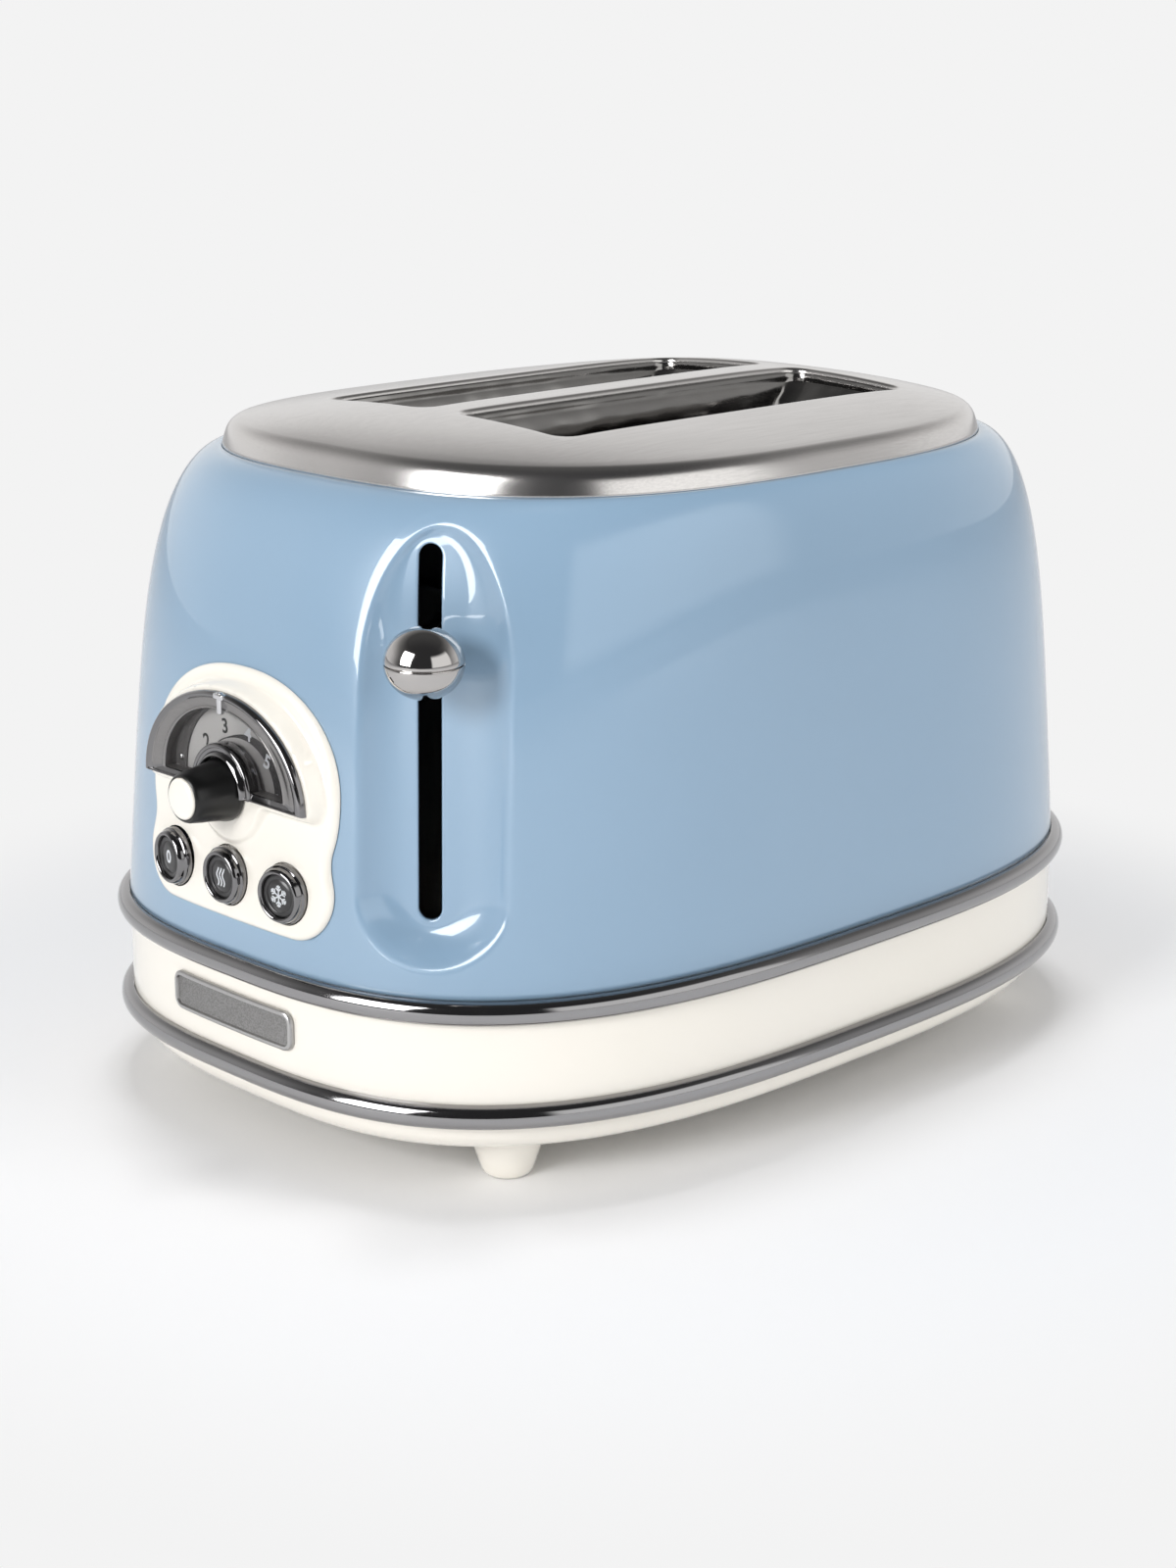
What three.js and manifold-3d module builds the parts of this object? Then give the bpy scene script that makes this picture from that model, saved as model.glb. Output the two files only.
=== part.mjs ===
// Two-slice toaster with a domed steel top, an enamelled body, a cream base and a ball lever.
// Millimetres. +X runs along the bread slots away from the controls, +Z is up, the feet stand on z = 0.
import * as THREE from 'three';
import { mergeVertices } from 'three/addons/utils/BufferGeometryUtils.js';
import Module from 'manifold-3d';

const wasm = await Module();
wasm.setup();

// Driving dimensions of the outside
const bodyHalfLength = 151.1;
const bodyHalfWidth = 111.4;
const bodyPower = 2.85;
const plateHalfLength = 114.3;
const plateHalfWidth = 96.2;
const platePower = 3.2;
const footHeight = 14.5;
const trayHeight = 8;
const bandHeight = 37.1;
const shellHeight = 134.5;
const plateRimHeight = 5.7;
const plateCrown = 7.8;
const wall = 1.6;
const fitGap = 0.3;
const overrun = 2;
const planSides = 56;

// Heights that follow from them
const trayBottom = footHeight + fitGap;
const trayTop = trayBottom + trayHeight;
const bandBottom = trayTop + fitGap;
const bandTop = bandBottom + bandHeight;
const shellBottom = bandTop + fitGap;
const shellTop = shellBottom + shellHeight;
const plateBottom = shellTop + fitGap;
const plateRimTop = plateBottom + plateRimHeight;

// Body profile: a lean below, a superelliptic shoulder above
const leanShare = 0.34;
const shoulderPower = 5;
const shellLevels = 10;
const shellLevelPower = 1.7;
const shellTopReveal = 0.6;

// Trim rings round the body
const ringProud = 3.9;
const ringHeight = 7;
const ringProfileSteps = 6;

// Bread slots
const slotLengthShare = 0.491;
const slotHalfLength = bodyHalfLength * slotLengthShare;
const slotHalfWidth = 23.1;
const slotSpacing = 59.4;
const slotShift = 5.7;
const slotCorner = 5.4;
const slotLipDepth = 4;
const plateThickness = 1.2;
const linerWall = 1;
const linerBeadWidth = 3.2;
const linerBeadHeight = 1.4;
const linerHeight = 18;
const linerDrop = 0.8;

// Lever recess, slot, arm and ball
const recessEndInset = 25.4;
const recessSideInset = 51;
const recessX = recessEndInset - bodyHalfLength;
const recessY = recessSideInset - bodyHalfWidth;
const recessTurn = 32;
const recessLeanShare = 0.105;
const recessPivot = shellBottom + shellHeight * 0.442;
const recessHalfWidth = 21.6;
const recessFloorRadius = 7;
const recessTopMargin = 2;
const recessTopRise = 45;
const recessTopCentre = shellTop - recessTopRise - recessTopMargin;
const recessBottomMargin = 5.5;
const recessBottomRise = 22;
const recessBottomCentre = shellBottom + recessBottomRise + recessBottomMargin;
const recessReach = 24;
const recessDraftShare = 0.25;
const leverTurn = 40;
const leverOffset = 0.8;
const leverX = recessX - leverOffset * Math.sin(THREE.MathUtils.degToRad(recessTurn));
const leverY = recessY + leverOffset * Math.cos(THREE.MathUtils.degToRad(recessTurn));
const leverShare = 0.71;
const leverHeight = shellBottom + shellHeight * leverShare;
const leverRiseShare = 0.1636;
const leverRise = shellHeight * leverRiseShare;
const leverTravelShare = 0.5056;
const leverTravel = shellHeight * leverTravelShare;
const armThickness = 3;
const armHeight = 8;
const leverSlotWidth = 6;
const leverSlotPlay = 1;
const leverSlotTail = 5;
const leverSlotTop = leverHeight + armHeight / 2 + leverRise + leverSlotPlay;
const leverSlotBottom = leverHeight - armHeight / 2 - leverTravel - leverSlotTail;
const ballRadius = 10.3;
const ballStandOff = 4.8;
const ballGrooveDepth = 0.5;
const ballGrooveHalf = 0.6;

// Control panel on the -X end
const panelProud = 2.8;
const panelHalfWidth = 42.2;
const dialRise = 48.7;
const dialHeight = shellBottom + dialRise;
const panelCentre = dialHeight;
const panelRise = 34.2;
const panelPower = 2.25;
const panelWaistHalf = 38.8;
const panelLobeHalf = 41.8;
const panelFootMargin = 10.1;
const panelBottom = shellBottom + panelFootMargin;
const panelWaistRise = 23.4;
const panelWaistHeight = panelBottom + panelWaistRise;
const panelLobeRadius = 14;
const panelOpeningMargin = 3.4;
const panelPostRadius = 2.4;
const panelPostPlaces = [
  [12.7, panelBottom + 8.8],
  [33.2, dialHeight + 6.8],
];

// Browning dial
const bezelHalfWidth = 36.4;
const bezelRise = 29.2;
const bezelDrop = 0.9;
const bezelFloor = dialHeight - bezelDrop;
const bezelStandOff = 3.8;
const bezelFace = endSurface(0, dialHeight, panelProud) + bezelStandOff;
const bezelThickness = 2.3;
const bezelBevel = 0.8;
const bezelBar = 2.4;
const bossMargin = 2;
const bossHubRadius = 15.5;
const windowHalfWidth = 27.2;
const windowRise = 21.6;
const windowSeat = 1.4;
const windowThickness = 1.2;
const hubRadius = 12.4;
const knobBaseRadius = 9.2;
const knobTipRadius = 6.9;
const knobLength = 15.4;
const knobEdge = 1;
const knobSeatDepth = 0.8;
const capRadius = 5.8;
const capThickness = 1.6;
const shaftRadius = 3;
const discRadius = 22;
const discThickness = 1;
const discOverlap = 0.6;
const discSetback = 2.6;
const dialPointerWidth = 2.2;

// Buttons
const buttonRise = 13;
const buttonHeight = panelBottom + buttonRise;
const buttonSpacing = 25.5;
const buttonTurn = 8;
const buttonRadius = 8.6;
const buttonClearance = 0.4;
const buttonProud = 3;
const buttonDepth = 1;
const buttonLipWidth = 2.7;
const buttonWell = 1.6;
const buttonFaceRadius = 5.5;
const buttonFaceThickness = 0.8;
const buttonStemRadius = 2;
const buttonTravel = 2.2;
const buttonPlay = 0.5;
const boardSetback = 11.1;
const boardFront = boardSetback - endSurface(0, dialHeight, 0);
const switchHeight = 5;
const buttonStemEnd = switchHeight + buttonTravel + buttonPlay - boardFront;

// Badge plate on the base band
const badgeHalfWidth = 27.5;
const badgeHeight = 11.8;
const badgeRise = 19.7;
const badgeCentre = bandBottom + badgeRise;
const badgeThickness = 1.4;
const badgeCorner = 1.6;

// Base band, tray, feet and crumb tray
const bandWall = 2.2;
const trayWall = 2.2;
const trayInset = 2;
const trayUnder = 14;
const footEndInset = 44.6;
const footSideInset = 43.1;
const footX = bodyHalfLength - footEndInset;
const footY = bodyHalfWidth - footSideInset;
const footTopRadius = 12.5;
const footBottomRadius = 7.6;
const ventLength = 36;
const ventWidth = 4;
const ventSpacing = 14;
const ventCount = 6;

// Bread cage
const chassisSlotMargin = 10.5;
const chassisFront = slotShift - slotHalfLength - chassisSlotMargin;
const chassisRear = slotShift + slotHalfLength + chassisSlotMargin - 1.4;
const chassisRise = 20.9;
const chassisBottom = bandBottom + chassisRise;
const chassisTopDrop = 10;
const chassisTop = shellTop - chassisTopDrop;
const chassisSideMargin = 11.2;
const chassisHalfWidth = slotSpacing / 2 + slotHalfWidth + chassisSideMargin;
const sheet = 1.2;
const flangeDepth = 26;
const rearFlangeDepth = 14;
const flangeHalfWidth = 50;
const postWidth = 8;
const postLength = 6;
const postInset = 3;
const cageSlotWidth = 5;
const heaterThickness = 1.2;
const heaterRise = 22;
const heaterBottom = chassisBottom + heaterRise;
const heaterDrop = 3;
const heaterTop = chassisTop - heaterDrop;
const outerHeaterInset = 7;
const outerHeaterY = chassisHalfWidth - outerHeaterInset;
const ribbonTurns = 8;
const ribbonWidth = 2.6;
const ribbonThickness = 0.4;
const ribbonEndInset = 6;
const reflectorInset = 2;
const reflectorY = chassisHalfWidth - reflectorInset;
const reflectorRise = 4;
const reflectorBottom = chassisBottom + reflectorRise;
const reflectorThickness = 0.8;
const guardMargin = 3.9;
const guardOffset = slotHalfWidth - guardMargin;
const guardWire = 1.1;
const guardRise = 14;
const guardHinge = chassisBottom + guardRise;
const guardDrop = 2;
const guardTop = chassisTop - guardDrop;
const guardWires = 7;
const guardEndInset = 8;

// Crumb tray
const crumbRise = 7.9;
const crumbBottom = bandBottom + crumbRise;
const crumbSideInset = 10;
const crumbHalfWidth = chassisHalfWidth - crumbSideInset;
const crumbStart = chassisFront + 9;
const crumbEndInset = 12.1;
const crumbEnd = bodyHalfLength - crumbEndInset;
const crumbHeight = 7;
const crumbSheet = 1;
const crumbTongueHalf = 40;
const crumbOpeningMargin = 2.4;
const handleOverlap = 5;
const handleHalfWidth = crumbHalfWidth + handleOverlap;
const handleHeight = 11.2;
const handleThickness = 2.2;
const railWidth = 3;
const railInset = 5;
const railEndInset = 12;

// Carriage
const bracketGap = 5;
const bracketBack = chassisFront - bracketGap;
const bracketSheet = 1.6;
const bracketSheetFront = bracketBack - bracketSheet;
const armEndY = leverY + (bracketSheetFront - leverX) * Math.tan(THREE.MathUtils.degToRad(leverTurn));
const bracketOverlap = 9.6;
const bracketHalfWidth = bracketOverlap - armEndY;
const bracketDrop = 25;
const bracketBottom = leverHeight - bracketDrop;
const bracketTop = leverHeight + armHeight / 2;
const rodGap = 9;
const rodX = bracketBack - rodGap;
const rodSpacing = 18;
const springSpacing = 18.4;
const springY = armEndY + springSpacing;
const rodY = springY + rodSpacing;
const rodRadius = 3;
const sleeveRadius = 6;
const sleeveClearance = 0.3;
const rackDrop = 23;
const rackBottom = leverHeight - rackDrop;
const rackHeight = 6;
const rackThickness = 2.4;
const rackTail = 5;
const rackBars = 6;
const rackBarHalf = 11;
const rackBarRadius = 1.2;
const rackBarInset = 14;
const armatureSpacing = 15;
const armatureY = rodY + armatureSpacing;
const armatureSize = 14;
const armatureThickness = 2;
const magnetBase = 3;
const magnetGap = 0.5;
const coilRadius = 6;
const coreHalf = 2.5;
const springRadius = 3.6;
const springWire = 0.55;
const springTurns = 14;
const springSides = 4;
const springSteps = 7;
const springTabHalf = 5;

// Electrics behind the panel
const boardThickness = 1.6;
const boardHalfWidth = 35.6;
const boardBottom = panelBottom + 2.4;
const boardTop = dialHeight + 12.8;
const switchSize = 6;
const potRadius = 8;
const potLength = 7.6;
const glandX = 60;
const glandInset = 23.4;
const glandY = bodyHalfWidth - glandInset;
const glandRadius = 4.6;
const glandBore = 3.2;
const glandFlange = 8;
const glandFlangeThickness = 1.8;
const glandLength = 9;

// Solids: every closed geometry becomes a manifold for joins and cuts
function solid(geometry) {
  const bare = new THREE.BufferGeometry();
  bare.setAttribute('position', geometry.attributes.position.clone());
  if (geometry.index) bare.setIndex(geometry.index.clone());
  const welded = mergeVertices(bare);
  const corners = welded.index.array;
  const kept = [];
  for (let i = 0; i < corners.length; i += 3) {
    const [a, b, c] = [corners[i], corners[i + 1], corners[i + 2]];
    if (a !== b && b !== c && c !== a) kept.push(a, b, c);
  }
  return new wasm.Manifold(new wasm.Mesh({
    numProp: 3,
    vertProperties: new Float32Array(welded.attributes.position.array),
    triVerts: new Uint32Array(kept),
  }));
}

function geometryOf(body) {
  const mesh = body.getMesh();
  const geometry = new THREE.BufferGeometry();
  geometry.setAttribute('position', new THREE.BufferAttribute(new Float32Array(mesh.vertProperties), 3));
  geometry.setIndex(new THREE.BufferAttribute(new Uint32Array(mesh.triVerts), 1));
  geometry.computeVertexNormals();
  return geometry;
}

// Skins a stack of closed outlines with equal point counts, bottom first, and caps both ends
function loft(sections) {
  const count = sections[0].length;
  const points = sections.flat();
  const middle = (section) => section.reduce((sum, p) => sum.add(p), new THREE.Vector3()).divideScalar(count);
  points.push(middle(sections[0]), middle(sections[sections.length - 1]));
  const faces = [];
  for (let level = 0; level < sections.length - 1; level++) {
    for (let i = 0; i < count; i++) {
      const a = level * count + i;
      const b = level * count + (i + 1) % count;
      faces.push(a, b, b + count, a, b + count, a + count);
    }
  }
  const last = (sections.length - 1) * count;
  for (let i = 0; i < count; i++) {
    const next = (i + 1) % count;
    faces.push(points.length - 2, next, i, points.length - 1, last + i, last + next);
  }
  const geometry = new THREE.BufferGeometry().setFromPoints(points);
  geometry.setIndex(faces);
  return geometry;
}

// Sweeps a closed profile of {out, z} points round a closed plan outline
function sweepRound(outline, profile) {
  const sides = profile.map(({ out, z }) => offsetOutline(outline, out).map((p) => new THREE.Vector3(p.x, p.y, z)));
  const steps = outline.length;
  const faces = [];
  for (let i = 0; i < steps; i++) {
    for (let j = 0; j < profile.length; j++) {
      const here = j * steps + i;
      const along = j * steps + (i + 1) % steps;
      const across = ((j + 1) % profile.length) * steps + i;
      const far = ((j + 1) % profile.length) * steps + (i + 1) % steps;
      faces.push(here, along, far, here, far, across);
    }
  }
  const geometry = new THREE.BufferGeometry().setFromPoints(sides.flat());
  geometry.setIndex(faces);
  return geometry;
}

function box(low, high) {
  const size = high.map((value, axis) => value - low[axis]);
  const geometry = new THREE.BoxGeometry(...size);
  geometry.translate(...low.map((value, axis) => value + size[axis] / 2));
  return solid(geometry);
}

function rod(from, to, radius, sides = 12) {
  const start = new THREE.Vector3(...from);
  const run = new THREE.Vector3(...to).sub(start);
  const geometry = new THREE.CylinderGeometry(radius, radius, run.length(), sides);
  geometry.translate(0, run.length() / 2, 0);
  geometry.applyQuaternion(new THREE.Quaternion().setFromUnitVectors(new THREE.Vector3(0, 1, 0), run.normalize()));
  geometry.translate(start.x, start.y, start.z);
  return solid(geometry);
}

function prism(outline, bottom, top) {
  const shape = new THREE.Shape(outline);
  const geometry = new THREE.ExtrudeGeometry(shape, { depth: top - bottom, bevelEnabled: false });
  geometry.translate(0, 0, bottom);
  return solid(geometry);
}

// A frame on the side wall: local x to the right as seen from outside, local y up, local z outwards
function facing(turn, x, y, z) {
  const angle = THREE.MathUtils.degToRad(turn);
  const out = new THREE.Vector3(-Math.cos(angle), -Math.sin(angle), 0);
  const side = new THREE.Vector3(Math.sin(angle), -Math.cos(angle), 0);
  const up = new THREE.Vector3(0, 0, 1);
  return new THREE.Matrix4().makeBasis(side, up, out).setPosition(x, y, z);
}

function facingPrism(frame, outline, inner, outer, bevel = 0) {
  const shape = new THREE.Shape(outline);
  const geometry = new THREE.ExtrudeGeometry(shape, {
    depth: outer - inner - bevel,
    bevelEnabled: bevel > 0,
    bevelThickness: bevel,
    bevelSize: bevel,
    bevelOffset: -bevel,
    bevelSegments: 2,
  });
  geometry.translate(0, 0, inner);
  const body = solid(geometry.applyMatrix4(frame));
  if (bevel === 0) return body;
  const reach = new THREE.Box2().setFromPoints(outline).expandByScalar(overrun);
  const size = reach.getSize(new THREE.Vector2());
  const centre = reach.getCenter(new THREE.Vector2());
  const behind = new THREE.BoxGeometry(size.x, size.y, overrun);
  behind.translate(centre.x, centre.y, inner - overrun / 2);
  return body.subtract(solid(behind.applyMatrix4(frame)));
}

// Revolves a profile of [radius, height] pairs about the local z axis of a frame
function revolve(profile, frame, sides = 24) {
  const geometry = new THREE.LatheGeometry(profile.map(([r, h]) => new THREE.Vector2(r, h)), sides);
  geometry.rotateX(Math.PI / 2);
  return solid(geometry.applyMatrix4(frame));
}

const upright = (x, y, z) => new THREE.Matrix4().makeTranslation(x, y, z);

// Outlines
function superellipse(halfLength, halfWidth, power, count = planSides) {
  const points = [];
  for (let i = 0; i < count; i++) {
    const angle = (i / count) * Math.PI * 2;
    const [c, s] = [Math.cos(angle), Math.sin(angle)];
    points.push(new THREE.Vector2(
      halfLength * Math.sign(c) * Math.abs(c) ** (2 / power),
      halfWidth * Math.sign(s) * Math.abs(s) ** (2 / power),
    ));
  }
  return points;
}

function offsetOutline(outline, distance) {
  const count = outline.length;
  return outline.map((point, i) => {
    const run = outline[(i + 1) % count].clone().sub(outline[(i + count - 1) % count]).normalize();
    return new THREE.Vector2(point.x + run.y * distance, point.y - run.x * distance);
  });
}

const atHeight = (outline, z) => outline.map((p) => new THREE.Vector3(p.x, p.y, z));

function roundedRectangle(halfLength, halfWidth, radius, x = 0, y = 0) {
  const shape = new THREE.Shape();
  shape.absarc(x + halfLength - radius, y + halfWidth - radius, radius, 0, Math.PI / 2);
  shape.absarc(x - halfLength + radius, y + halfWidth - radius, radius, Math.PI / 2, Math.PI);
  shape.absarc(x - halfLength + radius, y - halfWidth + radius, radius, Math.PI, Math.PI * 1.5);
  shape.absarc(x + halfLength - radius, y - halfWidth + radius, radius, Math.PI * 1.5, Math.PI * 2);
  return shape.extractPoints(4).shape.slice(0, -1);
}

function halfArch(halfWidth, rise, floor, count = 24) {
  const points = [];
  for (let i = 0; i <= count; i++) {
    const angle = (i / count) * Math.PI;
    points.push(new THREE.Vector2(halfWidth * Math.cos(angle), floor + rise * Math.sin(angle)));
  }
  return points;
}

// Body shell geometry shared by everything that follows its surface
function insetShare(share) {
  return leanShare * share + (1 - leanShare) * (1 - Math.sqrt(1 - share ** shoulderPower));
}

function bodySize(share, offset) {
  const inset = insetShare(share);
  const topLength = plateHalfLength + shellTopReveal;
  const topWidth = plateHalfWidth + shellTopReveal;
  return {
    halfLength: bodyHalfLength + (topLength - bodyHalfLength) * inset + offset,
    halfWidth: bodyHalfWidth + (topWidth - bodyHalfWidth) * inset + offset,
    power: bodyPower + (platePower - bodyPower) * inset,
  };
}

function bodyLoft(offset, bottom, top) {
  const sections = [];
  for (let level = 0; level <= shellLevels; level++) {
    const share = 1 - (1 - level / shellLevels) ** shellLevelPower;
    const { halfLength, halfWidth, power } = bodySize(share, offset);
    sections.push(atHeight(superellipse(halfLength, halfWidth, power), bottom + (top - bottom) * share));
  }
  return solid(loft(sections));
}

function endSurface(y, z, offset) {
  const share = Math.max(0, (z - shellBottom) / shellHeight);
  const { halfLength, halfWidth, power } = bodySize(share, offset);
  return halfLength * (1 - Math.abs(y / halfWidth) ** power) ** (1 / power);
}

// Plate dome: level along the slots, falling to the rim at the ends and to the sides
const crownLengthPower = 6;
const crownWidthPower = 1.3;
const plateRingShares = [1, 0.96, 0.86, 0.72, 0.52, 0.3, 0.1];
const plateUndersideShares = [1, 0.86, 0.52, 0.1];

function crownHeight(x, y) {
  const fall = Math.abs(x / plateHalfLength) ** crownLengthPower + Math.abs(y / plateHalfWidth) ** crownWidthPower;
  return plateCrown * Math.max(0, 1 - fall);
}

function dome(inset, drop, bottom, shares = plateUndersideShares) {
  const outline = superellipse(plateHalfLength - inset, plateHalfWidth - inset, platePower);
  const sections = [atHeight(outline, bottom)];
  for (const share of shares) {
    sections.push(outline.map((p) => {
      const [x, y] = [p.x * share, p.y * share];
      return new THREE.Vector3(x, y, plateRimTop - drop + crownHeight(x, y));
    }));
  }
  return solid(loft(sections));
}

const slotCentres = [-slotSpacing / 2, slotSpacing / 2];

function slotPrism(grow, centre, bottom, top) {
  const outline = roundedRectangle(slotHalfLength + grow, slotHalfWidth + grow, slotCorner + grow, slotShift, centre);
  return prism(outline, bottom, top);
}

function topPlate() {
  let plate = dome(0, 0, plateBottom, plateRingShares).subtract(dome(plateThickness, plateThickness, plateBottom - overrun));
  const lipBottom = plateRimTop - slotLipDepth;
  for (const centre of slotCentres) {
    const lip = slotPrism(plateThickness, centre, lipBottom, plateRimTop + plateCrown);
    plate = plate.add(lip.intersect(dome(plateThickness, plateThickness / 2, plateBottom - overrun)));
  }
  for (const centre of slotCentres) {
    plate = plate.subtract(slotPrism(0, centre, lipBottom - overrun, plateRimTop + plateCrown + overrun));
  }
  return plate;
}

const linerTop = plateRimTop + slotLipDepth - linerDrop;
const linerBottom = linerTop - linerHeight;

function slotLiner(centre) {
  const tube = slotPrism(-fitGap, centre, linerBottom, linerTop);
  const bore = slotPrism(-fitGap - linerWall, centre, linerBottom - overrun, linerTop - linerBeadHeight);
  const mouth = slotPrism(-fitGap - linerBeadWidth, centre, linerBottom - overrun, linerTop + overrun);
  return tube.subtract(bore).subtract(mouth);
}

// The recess is a lofted dish: its outline grows from the floor outwards
function recessOutline(inset) {
  const points = [];
  const sides = 24;
  for (let i = 0; i < sides; i++) {
    const angle = (i / sides) * Math.PI * 2;
    const upper = Math.sin(angle) >= 0;
    const centre = upper ? recessTopCentre : recessBottomCentre;
    const rise = (upper ? recessTopRise : recessBottomRise) - inset;
    points.push(new THREE.Vector2((recessHalfWidth - inset) * Math.cos(angle), centre + rise * Math.sin(angle)));
    if (i === 0 || i === sides / 2) {
      const side = Math.cos(angle) * (recessHalfWidth - inset);
      const other = new THREE.Vector2(side, upper && i > 0 ? recessBottomCentre : recessTopCentre);
      if (i === 0) points.splice(points.length - 1, 0, new THREE.Vector2(side, recessBottomCentre));
      else points.push(other);
    }
  }
  return points;
}

function recessDish(grow) {
  const frame = facing(recessTurn, recessX, recessY, 0);
  const sections = [];
  const filletSteps = 4;
  for (let step = 0; step <= filletSteps; step++) {
    const angle = (step / filletSteps) * Math.PI / 2;
    const depth = recessFloorRadius * (1 - Math.cos(angle));
    const inset = recessFloorRadius * (1 - Math.sin(angle));
    sections.push({ depth, inset });
  }
  sections.push({ depth: recessReach, inset: -(recessReach - recessFloorRadius) * recessDraftShare });
  return solid(loft(sections.map(({ depth, inset }) => recessOutline(inset - grow)
    .map((p) => {
      const lean = (recessPivot - p.y) * recessLeanShare;
      return new THREE.Vector3(p.x, p.y, depth + lean - grow).applyMatrix4(frame);
    }))));
}

function leverSlot() {
  const radius = leverSlotWidth / 2;
  const outline = roundedRectangle(radius, (leverSlotTop - leverSlotBottom) / 2, radius - fitGap / overrun,
    0, (leverSlotTop + leverSlotBottom) / 2);
  const frame = facing(leverTurn, leverX, leverY, 0);
  return facingPrism(frame, outline, -recessReach, recessReach);
}

// Panel outline: a broad superelliptic crown, a waist and two round lobes
function panelOutline(inset) {
  const points = [];
  const crownSteps = 20;
  const start = Math.asin(((panelWaistHeight - panelCentre) / panelRise));
  for (let i = 0; i <= crownSteps; i++) {
    const angle = start / 3 + (Math.PI - 2 * start / 3) * (i / crownSteps);
    const [c, s] = [Math.cos(angle), Math.sin(angle)];
    points.push(new THREE.Vector2(
      (panelHalfWidth - inset) * Math.sign(c) * Math.abs(c) ** (2 / panelPower),
      panelCentre + (panelRise - inset) * Math.sign(s) * Math.abs(s) ** (2 / panelPower),
    ));
  }
  const lobeX = panelLobeHalf - panelLobeRadius;
  const lobeZ = panelBottom + panelLobeRadius;
  const radius = panelLobeRadius - inset;
  const left = [];
  const lobeSteps = 8;
  left.push(new THREE.Vector2(-(panelWaistHalf - inset), panelWaistHeight));
  for (let i = 0; i <= lobeSteps; i++) {
    const angle = Math.PI * (0.94 + 0.56 * (i / lobeSteps));
    left.push(new THREE.Vector2(-lobeX + radius * Math.cos(angle), lobeZ + radius * Math.sin(angle)));
  }
  const right = left.map((p) => new THREE.Vector2(-p.x, p.y)).reverse();
  return [...points, ...left, ...right];
}

const endFrame = facing(0, 0, 0, 0);
const bossFace = bezelFace - bezelThickness - fitGap;
const buttonPlaces = [-1, 0, 1].map((step) => {
  const y = step * buttonSpacing;
  return { y, turn: -step * buttonTurn, x: -endSurface(y, buttonHeight, panelProud) };
});

function cylinderAt(frame, radius, inner, outer, sides = 24) {
  return revolve([[0, inner], [radius, inner], [radius, outer], [0, outer]], frame, sides);
}

const dialFrame = facing(0, 0, 0, dialHeight);

const knobInner = bossFace + fitGap;
const knobOuter = knobInner + knobLength;
const discFront = bossFace - windowThickness - discSetback;
const shaftEnd = -boardFront + potLength + fitGap;

function controlPanel() {
  const reachIn = bodyHalfLength - bodyHalfWidth;
  const reachOut = bodyHalfLength + bodyHalfWidth;
  const cover = facingPrism(endFrame, panelOutline(0), reachIn, reachOut);
  const face = bodyLoft(panelProud, shellBottom, shellTop).subtract(bodyLoft(fitGap, shellBottom, shellTop));
  let panel = face.intersect(cover);
  const surface = endSurface(0, dialHeight, panelProud);
  const arch = halfArch(bezelHalfWidth + bossMargin, bezelRise + bossMargin, bezelFloor);
  const skirt = [new THREE.Vector2(-bezelHalfWidth - bossMargin, bezelFloor - bossMargin),
    new THREE.Vector2(bezelHalfWidth + bossMargin, bezelFloor - bossMargin)];
  const bossBack = endSurface(bezelHalfWidth + bossMargin, bezelFloor + bezelRise, fitGap);
  let boss = facingPrism(endFrame, [...arch, ...skirt], bossBack, bossFace);
  boss = boss.add(cylinderAt(dialFrame, bossHubRadius, surface - panelProud, bossFace, 32));
  panel = panel.add(boss.subtract(bodyLoft(fitGap, shellBottom, shellTop)));
  for (const side of [-1, 1]) {
    for (const [y, z] of panelPostPlaces) {
      const frame = facing(0, 0, side * y, z);
      const back = endSurface(y, z, fitGap) + panelProud / 2;
      panel = panel.add(cylinderAt(frame, panelPostRadius, -boardFront + fitGap, back, 8));
    }
  }
  const windowFloor = bezelFloor + bezelBar - windowSeat + fitGap;
  const opening = halfArch(windowHalfWidth + windowSeat, windowRise + windowSeat, windowFloor);
  const seat = facingPrism(endFrame, opening, bossFace - windowThickness - fitGap, reachOut);
  const sight = cylinderAt(dialFrame, discRadius - discOverlap, reachIn, reachOut, 40);
  const well = seat.add(sight.intersect(facingPrism(endFrame, opening, reachIn, reachOut)));
  const hub = cylinderAt(dialFrame, knobBaseRadius + fitGap, discFront + fitGap, reachOut);
  panel = panel.subtract(well.subtract(hub));
  panel = panel.subtract(cylinderAt(dialFrame, discRadius + discOverlap, reachIn, discFront + fitGap, 40));
  panel = panel.subtract(cylinderAt(dialFrame, shaftRadius + fitGap, reachIn, reachOut, 16));
  for (const { x, y, turn } of buttonPlaces) {
    const frame = facing(turn, x, y, buttonHeight);
    panel = panel.subtract(cylinderAt(frame, buttonRadius + buttonClearance, -reachIn / 2, reachIn / 2));
  }
  return panel;
}

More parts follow.
